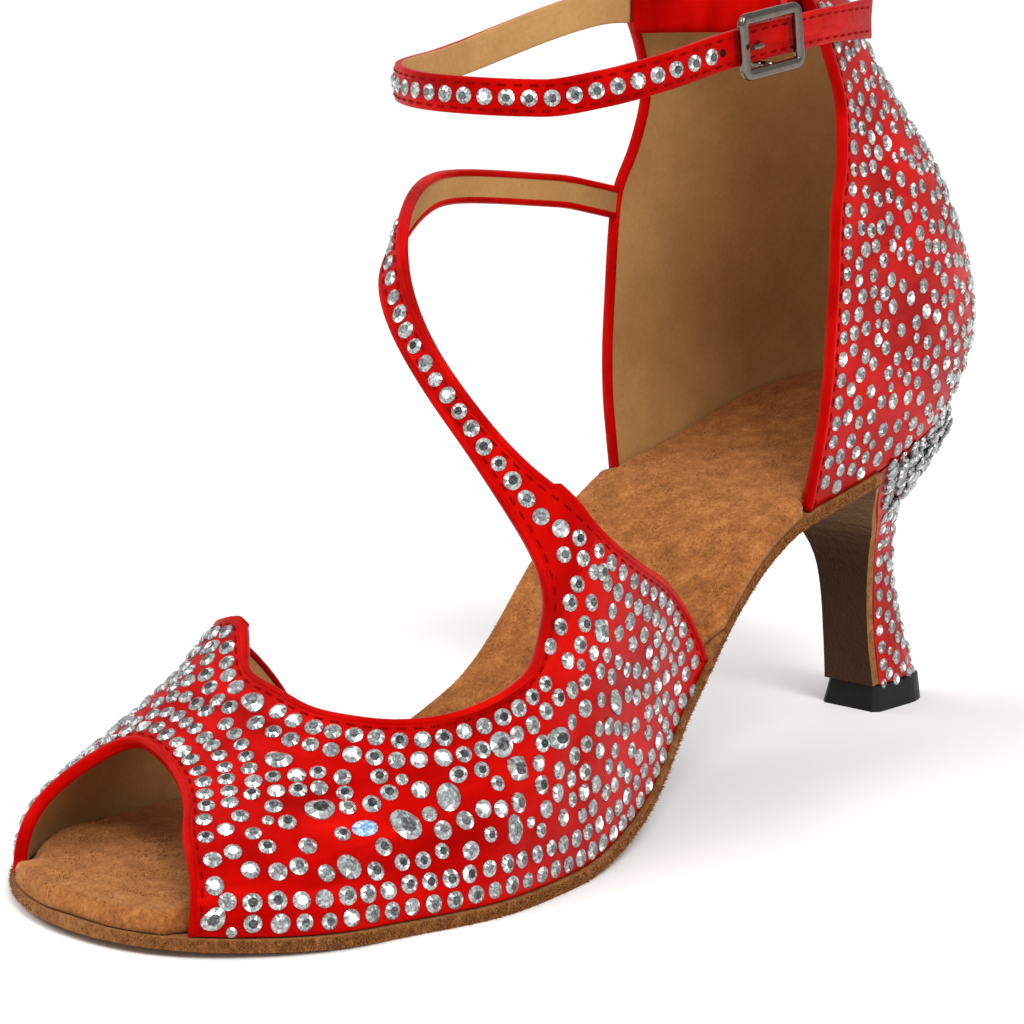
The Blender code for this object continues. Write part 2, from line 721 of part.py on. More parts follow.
def build_buckle(place):
    """A bevelled frame outside the strap, with a centre bar bowed round behind the strap."""
    face = ANKLE_STRAP_THICKNESS / 2 + GAP + 0.0002
    bevel = BUCKLE_WIRE * 0.25
    loops = []
    for inset, out in (
        (0.0, face), (0.0, face + BUCKLE_THICKNESS - bevel), (bevel, face + BUCKLE_THICKNESS),
        (BUCKLE_WIRE - bevel, face + BUCKLE_THICKNESS),
        (BUCKLE_WIRE, face + BUCKLE_THICKNESS - bevel), (BUCKLE_WIRE, face),
    ):
        corner = max(BUCKLE_CORNER - inset, 0.0005)
        pairs = rounded_rectangle(BUCKLE_LENGTH - 2 * inset, BUCKLE_HEIGHT - 2 * inset, corner, 4)
        loops.append(framed(place, pairs[:, 0], np.array(out), pairs[:, 1]))
    count = len(loops[0])
    faces = []
    for r in range(len(loops)):
        s = (r + 1) % len(loops)
        for c in range(count):
            d = (c + 1) % count
            faces.append((r * count + c, r * count + d, s * count + d, s * count + c))
    frame = tidy(mesh_object("buckle_frame", np.concatenate(loops), faces))
    depth = bar_depth()
    leg = ANKLE_STRAP_WIDTH / 2 + GAP + BAR_RADIUS + 0.0001
    bend = 0.0012
    turns = np.linspace(0, np.pi / 2, 4)
    out = np.append([face + BUCKLE_THICKNESS * 0.45], bend * (1 - np.sin(turns)) - depth)
    up = np.append([leg], leg - bend * (1 - np.cos(turns)))
    path = framed(place, np.array(0.0), np.append(out, out[::-1]), np.append(up, -up[::-1]))
    bar = tube("buckle_bar", path, BAR_RADIUS, 10)
    boolean(frame, bar, "UNION")
    return frame


def bar_depth():
    """How far the centre bar lies behind the middle of the ankle strap."""
    return ANKLE_STRAP_THICKNESS / 2 + GAP + LOOP_THICKNESS + GAP + BAR_RADIUS


def build_buckle_strap(place):
    """From the channel to the buckle, round its centre bar, with a slot for the prong."""
    depth = bar_depth()
    curl = BAR_RADIUS + GAP + LOOP_THICKNESS / 2
    turns = np.radians(np.linspace(0, 262, 14))
    along = np.append([-0.0060, -0.0030], curl * np.sin(turns))
    out = np.append([curl, curl], curl * np.cos(turns)) - depth
    hook = framed(place, along, out, np.array(0.0))
    held = leave_channel(channel(np.linspace(0.0, 0.44, 15)))[::-1]
    path = join(held, hook, 5)
    upright = np.tile(place[3], (len(path), 1))
    upright[: len(path) - len(hook)] = (0.0, 0.0, 1.0)
    made = ribbon("buckle_strap", path, BUCKLE_STRAP_WIDTH, LOOP_THICKNESS, upright)
    slot = np.array([(-1, -1), (1, -1), (1, 1), (-1, 1)]) * 0.0024
    high = 2 * (PRONG_RADIUS + GAP)
    box = [framed(place, slot[:, 0], slot[:, 1] - depth, np.array(h)) for h in (-high / 2, high / 2)]
    boolean(made, loft("prong_slot", box), "DIFFERENCE")
    return made


def build_prong(place):
    """A wire with its eye round the centre bar, up through the strap and over the front bar."""
    depth = bar_depth()
    eye = BAR_RADIUS + PRONG_RADIUS + 0.0002
    turns = np.radians(np.linspace(140, 360, 12))
    rest = ANKLE_STRAP_THICKNESS / 2 + 2 * GAP + BUCKLE_THICKNESS + PRONG_RADIUS + 0.0001
    along = np.append(eye * np.sin(turns), [0.0010, 0.0016, 0.0020, 0.0028, 0.0041, 0.0064])
    out = np.append(eye * np.cos(turns) - depth, [-0.0013, -0.0004, 0.0007, 0.0021, rest, rest])
    return tube("buckle_prong", framed(place, along, out, np.array(0.0)), PRONG_RADIUS, 8)


def build_ankle_strap(place):
    path = ankle_path()
    flare = np.clip(1 - np.arange(len(path)) / 12, 0, 1) * TAIL_FLARE
    made = ribbon("ankle_strap", path, ANKLE_STRAP_WIDTH + flare, ANKLE_STRAP_THICKNESS)
    reach = ANKLE_STRAP_THICKNESS
    hole = framed(place, np.array([0.0015, 0.0022]), np.array([-reach, reach]), np.array(0.0))
    boolean(made, tube("prong_hole", hole, PRONG_RADIUS + 0.0006, 10), "DIFFERENCE")
    return made


for old in list(bpy.data.objects):
    bpy.data.objects.remove(old)
shoe = bpy.data.collections.new("dance_shoe")
cutters = bpy.data.collections.new("cutters")
bpy.context.scene.collection.children.link(shoe)
bpy.context.scene.collection.children.link(cutters)
cutters.hide_render = True
origin = bpy.data.objects.new("bottom_centre", None)
shoe.objects.link(origin)

material(build_upper(), "D90A08", 0.42)
material(loft("outsole", outsole_rings()), "8A5A35", 0.95)
material(loft("insole", insole_rings()), "B5713A", 0.95)
heel_turns = np.linspace(0, 1, 25)
heel_rings = [heel_ring(rise, heel_turns) for rise in np.linspace(0, 1, 17)]
material(loft("heel", heel_rings), "D90A08", 0.42)
tip_rings = [tip_ring(TIP_FLARE, 0.0, 15), tip_ring(0.0, TIP_THICKNESS, 15)]
material(loft("heel_tip", tip_rings), "0E1010", 0.6)
buckle_place = buckle_frame()
material(build_ankle_strap(buckle_place), "D90A08", 0.42)
material(build_buckle_strap(buckle_place), "D90A08", 0.42)
material(build_buckle(buckle_place), "4A443C", 0.25, 1.0)
material(build_prong(buckle_place), "4A443C", 0.25, 1.0)

bpy.context.view_layer.update()
corners = []
graph = bpy.context.evaluated_depsgraph_get()
for made in shoe.objects:
    if made.type == "MESH":
        solid = made.evaluated_get(graph)
        corners += [solid.matrix_world @ Vector(corner) for corner in solid.bound_box]
low = np.min(corners, axis=0)
high = np.max(corners, axis=0)
origin.location = (-(low[0] + high[0]) / 2, -(low[1] + high[1]) / 2, -low[2])
bpy.context.view_layer.update()
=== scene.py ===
# %% [markdown]
# A left dance sandal in red satin, closely set with flat-back crystals. This lesson dresses the
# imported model: the frame is loaded first, and every form below is laid over the same last that
# the model was built on, so nothing has to be fitted by eye afterwards.

# %% Load the frame
import math

import bmesh
import bpy
import numpy as np
from mathutils import Matrix, Vector


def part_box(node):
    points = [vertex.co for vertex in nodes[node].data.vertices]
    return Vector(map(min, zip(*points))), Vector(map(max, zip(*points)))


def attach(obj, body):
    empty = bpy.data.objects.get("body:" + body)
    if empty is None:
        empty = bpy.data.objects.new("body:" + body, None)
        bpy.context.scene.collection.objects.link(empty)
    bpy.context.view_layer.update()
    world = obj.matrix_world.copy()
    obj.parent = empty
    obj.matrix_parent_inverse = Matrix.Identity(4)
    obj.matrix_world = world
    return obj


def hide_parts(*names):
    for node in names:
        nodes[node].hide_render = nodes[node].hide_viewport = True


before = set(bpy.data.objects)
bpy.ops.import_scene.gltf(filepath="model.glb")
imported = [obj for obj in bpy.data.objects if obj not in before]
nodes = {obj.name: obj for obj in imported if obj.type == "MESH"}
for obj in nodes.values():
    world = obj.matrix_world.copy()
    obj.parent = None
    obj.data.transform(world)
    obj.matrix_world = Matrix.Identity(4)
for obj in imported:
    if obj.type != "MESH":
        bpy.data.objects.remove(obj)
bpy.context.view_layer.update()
scene = bpy.context.scene
print("nodes in the frame:", sorted(nodes))

# %% [markdown]
# A shoemaker works from a last, a solid form with the inside shape of the shoe. Its sizes and its
# short tables are written here once: lengths are in metres, and each table holds shares of them.
# Everything that follows reads these, so a stone or a stitch always knows where the satin is.

# %% Sizes of the last, the sole and the straps
# The ring is the ankle strap's; its end, the tail's end and the buckle are given in degrees.
LENGTH = 0.2215
BALL_WIDTH = 0.0784
HEEL_HEIGHT = 0.062
INSTEP_HEIGHT = 0.130
COUNTER_HEIGHT = 0.078
OUTSOLE = 0.0020
INSOLE = 0.0032
WALL = 0.0016
GAP = 0.0003
SOLE_LEDGE = 0.0008
TOE_ROOM = 0.0013
TIP_THICKNESS = 0.0050
BREAST = 0.192
INSTEP_STRAP_WIDTH = 0.0056
ANKLE_STRAP_WIDTH = 0.0062
ANKLE_STRAP_THICKNESS = 0.0015
LOOP_THICKNESS = 0.0010
RING_LENGTH = 0.1040
RING_WIDTH = 0.0630
RING_CENTRE = 0.0280
RING_SIDE = -0.0023
RING_POWER = 2.1
RING_END = -165.0
TAIL_END = 36.0
TAIL_FLARE = 0.0010
BUCKLE_AT = -5.6
CHANNEL_DEPTH = 0.0036
CHANNEL_EXIT = 0.0030
FLAP_LENGTH = 0.0085
BUCKLE_HEIGHT = 0.0114
BUCKLE_LENGTH = 0.0160
BUCKLE_WIRE = 0.0019
BUCKLE_THICKNESS = 0.0014
BUCKLE_CORNER = 0.0018
HEEL_ROUND = 0.18
TOE_ROUND = 0.14
ROUND_POWER = 2.15
NECK_REAR = 0.22
NECK_FRONT = 0.40
STRAP_LOW = 0.535
STRAP_HIGH = 0.595


def rows(names, *values):
    """A table: its column names in one string, then its rows."""
    return {name: np.array(column, float) for name, column in zip(names.split(), zip(*values))}


# %% [markdown]
# Seen from above, the sole is a half width and a centre line along its length. Seen from the side,
# it is one profile: flat under the ball, rising through the waist, and high at the heel's seat.

# %% Tables of the sole: its plan and its profile
# Half and centre are shares of the ball's width, and rise is a share of the heel's height.
PLAN = rows(
    "along half centre",
    (0.00, 0.310, 0.000),
    (0.15, 0.312, 0.000),
    (0.25, 0.314, 0.006),
    (0.35, 0.305, 0.026),
    (0.45, 0.310, 0.044),
    (0.55, 0.382, 0.053),
    (0.65, 0.460, 0.050),
    (0.75, 0.499, 0.041),
    (0.85, 0.466, 0.018),
    (0.93, 0.430, 0.016),
    (1.00, 0.400, 0.038),
)
PROFILE = rows(
    "along rise",
    (0.00, 1.000),
    (0.05, 0.973),
    (0.10, 0.932),
    (0.15, 0.881),
    (0.20, 0.828),
    (0.25, 0.790),
    (0.30, 0.752),
    (0.35, 0.672),
    (0.40, 0.536),
    (0.45, 0.345),
    (0.50, 0.177),
    (0.55, 0.074),
    (0.60, 0.022),
    (0.66, 0.000),
    (0.80, 0.000),
    (1.00, 0.024),
)

# %% [markdown]
# The upper is read from the last in shares as well: along runs from the heel to the toe, turn runs
# over the last from its outer to its inner edge, and rise runs up from the seat.

# %% Tables of the upper: the last's top, the vamp, the straps and the counter
CREST = rows(
    "along height ridge outer inner",
    (0.40, 1.000, -0.10, 2.3, 2.3),
    (0.50, 0.980, -0.12, 2.3, 2.3),
    (0.56, 0.940, -0.15, 2.2, 2.3),
    (0.61, 0.830, -0.18, 2.1, 2.2),
    (0.65, 0.670, -0.22, 2.0, 2.0),
    (0.70, 0.490, -0.26, 2.0, 1.8),
    (0.75, 0.360, -0.30, 2.0, 1.65),
    (0.82, 0.238, -0.32, 2.0, 1.75),
    (0.90, 0.155, -0.30, 2.1, 2.0),
    (1.00, 0.100, -0.20, 2.2, 2.2),
)
VAMP = rows(
    "row toe_along toe_turn top_along top_turn",
    (0.00, 0.971, 0.000, 0.435, 0.000),
    (0.07, 0.970, 0.040, 0.478, 0.043),
    (0.15, 0.969, 0.080, 0.550, 0.098),
    (0.18, 0.968, 0.091, 0.573, 0.117),
    (0.20, 0.968, 0.098, 0.588, 0.133),
    (0.22, 0.967, 0.105, 0.602, 0.150),
    (0.40, 0.964, 0.155, 0.680, 0.160),
    (0.46, 0.960, 0.200, 0.703, 0.171),
    (0.52, 0.954, 0.250, 0.732, 0.193),
    (0.58, 0.944, 0.305, 0.765, 0.228),
    (0.64, 0.920, 0.370, 0.795, 0.285),
    (0.70, 0.896, 0.445, 0.813, 0.366),
    (0.75, 0.883, 0.520, 0.812, 0.440),
    (0.80, 0.886, 0.580, 0.782, 0.514),
    (0.85, 0.904, 0.640, 0.776, 0.605),
    (0.90, 0.930, 0.720, 0.752, 0.715),
    (0.95, 0.952, 0.850, 0.692, 0.855),
    (1.00, 0.960, 1.000, 0.615, 1.000),
)
STRAP = rows(
    "reach rear_along rear_turn front_along front_turn",
    (0.00, 0.602, 0.150, 0.680, 0.160),
    (0.07, 0.618, 0.180, 0.659, 0.176),
    (0.14, 0.631, 0.212, 0.657, 0.204),
    (0.22, 0.642, 0.243, 0.665, 0.243),
    (0.34, 0.654, 0.300, 0.671, 0.316),
    (0.46, 0.658, 0.352, 0.671, 0.372),
    (0.58, 0.657, 0.410, 0.667, 0.428),
    (0.72, 0.646, 0.482, 0.656, 0.500),
    (0.86, 0.630, 0.548, 0.641, 0.572),
    (1.00, 0.608, 0.612, 0.622, 0.640),
)
STRAP_INSIDE = rows(
    "step along side rise",
    (0.0, 0.560, -0.262, 0.823),
    (1.0, 0.500, -0.325, 0.826),
    (2.0, 0.440, -0.350, 0.820),
    (3.0, 0.380, -0.355, 0.810),
    (4.0, 0.330, -0.350, 0.802),
)
COUNTER = rows(
    "rise half back front slim",
    (0.00, 1.00, -0.002, 0.293, 0.00),
    (0.09, 1.06, -0.024, 0.292, 0.00),
    (0.17, 1.11, -0.029, 0.291, 0.00),
    (0.29, 1.14, -0.022, 0.289, 0.02),
    (0.44, 1.14, 0.005, 0.286, 0.06),
    (0.58, 1.12, 0.036, 0.283, 0.13),
    (0.68, 1.06, 0.070, 0.268, 0.20),
    (0.78, 1.00, 0.104, 0.262, 0.28),
    (0.88, 0.97, 0.134, 0.276, 0.34),
    (1.00, 0.95, 0.162, 0.308, 0.38),
)
HEEL = rows(
    "rise half front back",
    (0.0, 0.250, 0.0756, -0.0145),
    (0.1, 0.238, 0.0792, -0.0030),
    (0.2, 0.231, 0.0828, 0.0095),
    (0.3, 0.230, 0.0856, 0.0200),
    (0.4, 0.238, 0.0882, 0.0265),
    (0.5, 0.258, 0.0912, 0.0290),
    (0.6, 0.305, 0.0970, 0.0285),
    (0.7, 0.405, 0.1090, 0.0262),
    (0.8, 0.570, 0.1340, 0.0200),
    (0.9, 0.790, 0.1640, 0.0097),
    (1.0, 0.990, 0.1920, 0.0006),
)
RING = rows(
    "degrees rise out",
    (-180.0, 0.925, 0.000),
    (-150.0, 0.897, 0.000),
    (-120.0, 0.890, 0.000),
    (-90.0, 0.884, 0.000),
    (-60.0, 0.882, 0.000),
    (-45.0, 0.893, 0.000),
    (-30.0, 0.912, 0.000),
    (-15.0, 0.935, 0.000),
    (0.0, 0.951, 0.000),
    (15.0, 0.962, 0.004),
    (30.0, 0.966, 0.012),
    (40.0, 0.967, 0.020),
)


# %% [markdown]
# Between the rows of a table the form has to run on without a kink. A cubic through the rows
# could overshoot and bulge, so each slope here is the harmonic mean of its two neighbours, which
# keeps the curve between its rows.

# %% Reading a table, and the sole's outline
def smooth(table, name, where):
    """A cubic between two rows, whose slope at each row is the harmonic mean of its neighbours'."""
    x = table[next(iter(table))]
    y = table[name]
    where = np.clip(np.asarray(where, float), x[0], x[-1])
    slope = np.diff(y) / np.diff(x)
    inner = np.where(slope[1:] * slope[:-1] > 0, slope[1:] * slope[:-1], 0.0)
    middle = 2.0 * inner / np.where(inner > 0, slope[1:] + slope[:-1], 1.0)
    tangent = np.concatenate([slope[:1], middle, slope[-1:]])
    i = np.clip(np.searchsorted(x, where, side="right") - 1, 0, len(x) - 2)
    step = x[i + 1] - x[i]
    t = (where - x[i]) / step
    return (
        (2 * t**3 - 3 * t**2 + 1) * y[i]
        + (t**3 - 2 * t**2 + t) * step * tangent[i]
        + (3 * t**2 - 2 * t**3) * y[i + 1]
        + (t**3 - t**2) * step * tangent[i + 1]
    )


def round_ends(along):
    """One minus the share into each end to a power, and the root of that: a superellipse's end."""
    heel = np.clip(1 - along / HEEL_ROUND, 0, 1)
    toe = np.clip(1 - (1 - along) / TOE_ROUND, 0, 1)
    closing = (1 - heel**ROUND_POWER) * (1 - toe**ROUND_POWER)
    return np.maximum(closing, 0) ** (1 / ROUND_POWER)


def plan(along, inset=0.0):
    """Outer and inner x of the sole: its centre line plus or minus the rounded half width."""
    along = np.asarray(along, float)
    half = np.maximum(BALL_WIDTH * smooth(PLAN, "half", along) * round_ends(along) - inset, 0)
    centre = BALL_WIDTH * smooth(PLAN, "centre", along)
    return centre + half, centre - half


def y_of(along):
    """Y falls evenly from plus half the length at the heel to minus half at the toe."""
    return (0.5 - np.asarray(along, float)) * LENGTH


def underside(along):
    """The profile's share times the heel's height."""
    return HEEL_HEIGHT * smooth(PROFILE, "rise", along)


def seat(along):
    """The underside, the outsole and a hair of room on top of each other."""
    return underside(along) + OUTSOLE + GAP


# %% [markdown]
# The last itself is a superellipse at each place along the shoe: its ridge lies toward the inner
# side, and a power says how full each flank is. The counter, the heel and the ankle strap's ring
# are laid out in the same way, each from its own table.

# %% The last, the counter and the heel as functions of two shares
def last(along, turn):
    """Ridge plus side times a power of the cosine, seat plus height times a power of the sine."""
    along = np.asarray(along, float)
    turn = np.asarray(turn, float)
    outer, inner = plan(along, SOLE_LEDGE)
    ridge = (outer + inner) / 2 + (outer - inner) / 2 * smooth(CREST, "ridge", along)
    side = np.where(turn < 0.5, outer - ridge, inner - ridge)
    power = np.where(turn < 0.5, smooth(CREST, "outer", along), smooth(CREST, "inner", along))
    cosine = np.abs(np.cos(np.pi * turn)) ** (2 / power)
    sine = np.abs(np.sin(np.pi * turn)) ** (2 / power)
    z = seat(along) + INSTEP_HEIGHT * smooth(CREST, "height", along) * sine
    return np.stack([ridge + side * cosine, y_of(along), z], -1)


def counter(rise, turn):
    """The seat's own edge, widened by a share, moved between its back and front, and raised."""
    rise = np.asarray(rise, float)
    foot_front = COUNTER["front"][0]
    front = smooth(COUNTER, "front", rise)
    back = smooth(COUNTER, "back", rise)
    around = np.abs(2 * np.asarray(turn, float) - 1)
    foot = foot_front * (1 - np.cos(np.pi / 2 * around))
    share = foot / foot_front
    outer, inner = plan(foot, SOLE_LEDGE)
    centre = (outer + inner) / 2
    edge = np.where(np.asarray(turn) < 0.5, outer, inner)
    narrow = 1 - smooth(COUNTER, "slim", rise) * (1 - share)
    x = centre + (edge - centre) * smooth(COUNTER, "half", rise) * narrow
    z = seat(foot) * (1 - rise) + (seat(0.0) + COUNTER_HEIGHT) * rise
    return np.stack([x, y_of(back + (front - back) * share), z], -1)


def between(start, end, share):
    """Start plus a share of the way to the end."""
    return start + (end - start) * share


def heel_skin(rise, turn):
    """The seat's edge shrunk to the heel's share at each height, from breast edge to breast edge."""
    around = np.abs(2 * turn - 1)
    foot = BREAST * (1 - np.cos(np.pi / 2 * around))
    outer, inner = plan(foot, SOLE_LEDGE)
    centre = (outer + inner) / 2
    edge = np.where(turn < 0.5, outer, inner)
    x = centre + (edge - centre) * smooth(HEEL, "half", rise)
    z = between(TIP_THICKNESS + GAP, underside(foot) + OUTSOLE, rise)
    back = y_of(smooth(HEEL, "back", rise))
    front = y_of(smooth(HEEL, "front", rise)) + OUTSOLE
    return np.stack([x, between(back, front, foot / BREAST), z], -1)


def vamp(across, down):
    """Between the toe's edge and the top edge of the vamp, both read from its table, on the last."""
    along = between(smooth(VAMP, "toe_along", across), smooth(VAMP, "top_along", across), down)
    turn = between(smooth(VAMP, "toe_turn", across), smooth(VAMP, "top_turn", across), down)
    return last(along, turn)


def instep_strap(columns, reaches, steps):
    """Root on the vamp's edge, then on the last, then free along the inner side to the counter."""
    root = vamp(between(NECK_REAR, NECK_FRONT, columns), 1.0)[None]
    share, reach = np.meshgrid(columns, reaches)
    along = between(smooth(STRAP, "rear_along", reach), smooth(STRAP, "front_along", reach), share)
    turn = between(smooth(STRAP, "rear_turn", reach), smooth(STRAP, "front_turn", reach), share)
    share, step = np.meshgrid(columns, steps)
    x = BALL_WIDTH * smooth(STRAP_INSIDE, "side", step)
    y = y_of(smooth(STRAP_INSIDE, "along", step))
    z = INSTEP_HEIGHT * smooth(STRAP_INSIDE, "rise", step) + INSTEP_STRAP_WIDTH * (0.5 - share)
    end = counter(between(STRAP_HIGH, STRAP_LOW, columns), 1.0)[None]
    return np.concatenate([root, last(along, turn), np.stack([x, y, z], -1), end])


def ring_point(degrees):
    """A superellipse round the ankle, at the height and the stand-out of its table."""
    angle = np.radians(degrees)
    power = 2 / RING_POWER
    x = RING_SIDE + RING_WIDTH / 2 * np.sign(np.cos(angle)) * np.abs(np.cos(angle)) ** power
    y = RING_CENTRE + RING_LENGTH / 2 * np.sign(np.sin(angle)) * np.abs(np.sin(angle)) ** power
    z = (seat(0.0) + COUNTER_HEIGHT) * smooth(RING, "rise", degrees)
    return np.stack([x + RING_WIDTH * smooth(RING, "out", degrees), y, z], -1)


# %% [markdown]
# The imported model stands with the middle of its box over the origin, while the tables above count
# from the middle of the sole. The outsole's own box tells how far apart the two are.

# %% From the bench to the frame
low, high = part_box("outsole")
fine = np.linspace(0, 1, 2001)
SHIFT = np.array([high.x - plan(fine)[0].max(), low.y - y_of(1.0), 0.0])
print("shift from the bench to the frame, mm:", np.round(SHIFT * 1000, 2))

# %% [markdown]
# Cloth here is a grid of points. Two things are asked of every grid: which way its outside faces,
# and where a spot lying near it touches it. Crossing the two directions of the grid gives the
# first, and the nearest point's flat plane gives the second.

# %% Normals, offsets and spots on a grid
def unit(vectors):
    """Each vector divided by its length."""
    return vectors / np.maximum(np.linalg.norm(vectors, axis=-1, keepdims=True), 1e-12)


def sheet(points, middle=(0.0, 0.0, 0.06)):
    """A grid with its normals: the cross product of its two directions, turned off the middle."""
    normals = unit(np.cross(np.gradient(points, axis=0), np.gradient(points, axis=1)))
    outward = np.sum(normals * (points - np.array(middle)))
    return {"points": points, "normals": normals if outward > 0 else -normals}


def nearest_of(spots, points):
    """For each spot the number of the point with the smallest squared distance."""
    parts = np.array_split(spots, max(1, len(spots) // 40))
    return np.concatenate(
        [np.argmin(((points[None] - part[:, None]) ** 2).sum(-1), axis=1) for part in parts]
    )


def lay_on(form, spots):
    """Each spot moves to the plane of its nearest grid point; that point's normal goes with it."""
    flat = form["points"].reshape(-1, 3)
    nearest = nearest_of(spots, flat)
    up = form["normals"].reshape(-1, 3)[nearest]
    return spots - up * np.sum((spots - flat[nearest]) * up, -1, keepdims=True), up


def evenly(line, spacing, start=0.5):
    """Points at even distances along a line, the first one start spacings from its beginning."""
    run = np.concatenate([[0], np.cumsum(np.linalg.norm(np.diff(line, axis=0), axis=1))])
    count = max(int(run[-1] / spacing - start + 0.5), 1)
    marks = (np.arange(count) + start) * run[-1] / (count - 1 + 2 * start)
    return np.stack([np.interp(marks, run, line[:, k]) for k in range(3)], -1)


def edge_of(form, rim, inside):
    """An edge of a grid with the directions that lead off it: rim and inside are two grid lines."""
    line = form["points"][rim]
    off = line - form["points"][inside]
    along = unit(np.gradient(line, axis=0))
    off = unit(off - along * np.sum(off * along, -1, keepdims=True))
    return {"line": line, "off": off, "up": form["normals"][rim]}


def joined(*edges):
    """Several edges as one, end to end."""
    return {key: np.concatenate([edge[key] for edge in edges]) for key in edges[0]}


EVEN_STEP = 0.001


def evened(edge):
    """The edge read at even steps along it, then each row averaged with its neighbours."""
    run = np.concatenate([[0], np.cumsum(np.linalg.norm(np.diff(edge["line"], axis=0), axis=1))])
    marks = np.linspace(0, run[-1], int(run[-1] / EVEN_STEP))
    read = {
        key: np.stack([np.interp(marks, run, edge[key][:, k]) for k in range(3)], -1) for key in edge
    }
    for _ in range(6):
        for key, way in read.items():
            read[key] = np.concatenate([way[:1], (way[:-2] + 2 * way[1:-1] + way[2:]) / 4, way[-1:]])
    return {"line": read["line"], "off": unit(read["off"]), "up": unit(read["up"])}


def inset_line(edge, form, inset):
    """The edge moved back from the rim by the inset, and laid on the cloth again."""
    return lay_on(form, edge["line"] - edge["off"] * inset)[0]


def measured(form, inset, spare=0.003):
    """Down each column of the grid by a length, where the column is longer than that and spare."""
    points = form["points"]
    lengths = np.linalg.norm(np.diff(points, axis=0), axis=-1)
    runs = np.concatenate([np.zeros((1, points.shape[1])), np.cumsum(lengths, axis=0)])
    columns = [c for c in range(points.shape[1]) if runs[-1, c] > inset + spare]
    return np.array([
        [np.interp(inset, runs[:, c], points[:, c, k]) for k in range(3)] for c in columns
    ])


# %% [markdown]
# Worn satin is never quite flat. Where the shoe bends, and where the counter is pulled in over
# the heel's edge, it keeps soft troughs. Each is pressed in one by one: a line between two places
# on the piece, with a width and a depth, as a bell curve across it that fades toward its ends.

# %% Soft creases
def press(form, creases):
    """Moves the grid along its normals by depth times a bell curve of the distance to each line."""
    points = form["points"]
    depth = np.zeros(points.shape[:2])
    for start, end, width, deep in creases:
        start = points[tuple((np.array(start) * (np.array(points.shape[:2]) - 1)).astype(int))]
        end = points[tuple((np.array(end) * (np.array(points.shape[:2]) - 1)).astype(int))]
        axis = end - start
        share = np.clip((points - start) @ axis / (axis @ axis), 0, 1)
        away = np.linalg.norm(points - start - share[..., None] * axis, axis=-1)
        depth += deep * np.exp(-((away / width) ** 2)) * np.sin(np.pi * (0.1 + 0.8 * share))
    return sheet(points - form["normals"] * depth[..., None])


# Each row: start and end as shares down and across the grid, then width and depth in metres.
VAMP_CREASES = [
    ((0.62, 0.06), (0.80, 0.17), 0.0022, 0.00040),
    ((0.50, 0.05), (0.70, 0.22), 0.0026, 0.00035),
    ((0.42, 0.12), (0.56, 0.33), 0.0030, 0.00030),
    ((0.80, 0.45), (0.45, 0.56), 0.0028, 0.00028),
    ((0.70, 0.74), (0.30, 0.86), 0.0030, 0.00045),
    ((0.85, 0.86), (0.45, 0.95), 0.0026, 0.00040),
]
COUNTER_CREASES = [
    ((0.05, 0.10), (0.13, 0.40), 0.0024, 0.00035),
    ((0.05, 0.90), (0.13, 0.60), 0.0024, 0.00035),
    ((0.36, 0.12), (0.30, 0.36), 0.0034, 0.00028),
    ((0.36, 0.88), (0.30, 0.64), 0.0034, 0.00028),
    ((0.62, 0.20), (0.55, 0.44), 0.0030, 0.00025),
]

# %% [markdown]
# The vamp's grid has its columns closer together at the neck, where the instep strap grows out of
# it, so that both share the same points there and can be welded into one cloth. The strap and the
# counter's folded top are then evened a little, as cloth is when it is pulled taut over a last.

# %% The cloth forms of the upper
REAR_COLUMNS = 54
NECK_COLUMNS = 44
FRONT_COLUMNS = 145
NECK = slice(REAR_COLUMNS - 1, REAR_COLUMNS + NECK_COLUMNS - 1)
HELD_ROWS = 5
across = np.concatenate([
    np.linspace(0, NECK_REAR, REAR_COLUMNS),
    np.linspace(NECK_REAR, NECK_FRONT, NECK_COLUMNS)[1:],
    np.linspace(NECK_FRONT, 1, FRONT_COLUMNS)[1:],
])
down = np.linspace(0, 1, 81)
vamp_form = press(sheet(vamp(*np.meshgrid(across, down))), VAMP_CREASES)


def relaxed(points, passes, hold):
    """Each row moves toward the mean of its two neighbours, over and over; the ends are held."""
    rank = np.arange(len(points))
    from_end = np.minimum(rank, len(points) - 1 - rank)
    loose = np.clip((from_end - HELD_ROWS) / hold, 0, 1)[:, None, None]
    for _ in range(passes):
        mean = (points[:-2] + points[2:]) / 2
        moved = between(points[1:-1], mean, loose[1:-1] / 2)
        points = np.concatenate([points[:1], moved, points[-1:]])
    return points


strap_points = instep_strap(
    columns=np.linspace(0, 1, NECK_COLUMNS),
    reaches=np.linspace(0.06, 1, 90),
    steps=np.linspace(0, 3.9, 50),
)
strap_points[0] = vamp_form["points"][-1, NECK]
seam_shares = np.linspace(0, 1, HELD_ROWS + 1)[1:-1, None, None]
seam_rows = between(strap_points[:1], strap_points[1:2], seam_shares)
strap_points = np.concatenate([strap_points[:1], seam_rows, strap_points[1:]])
strap_points = relaxed(strap_points, passes=70, hold=16)
strap_form = sheet(strap_points, (0.0, 0.0, 0.05))


def sideways(line):
    """Horizontal unit vectors square to a line, toward the inside of the shoe."""
    step = np.gradient(line[:, :2], axis=0)
    return unit(np.stack([-step[:, 1], step[:, 0], np.zeros(len(step))], -1))


EASE_PASSES = 60


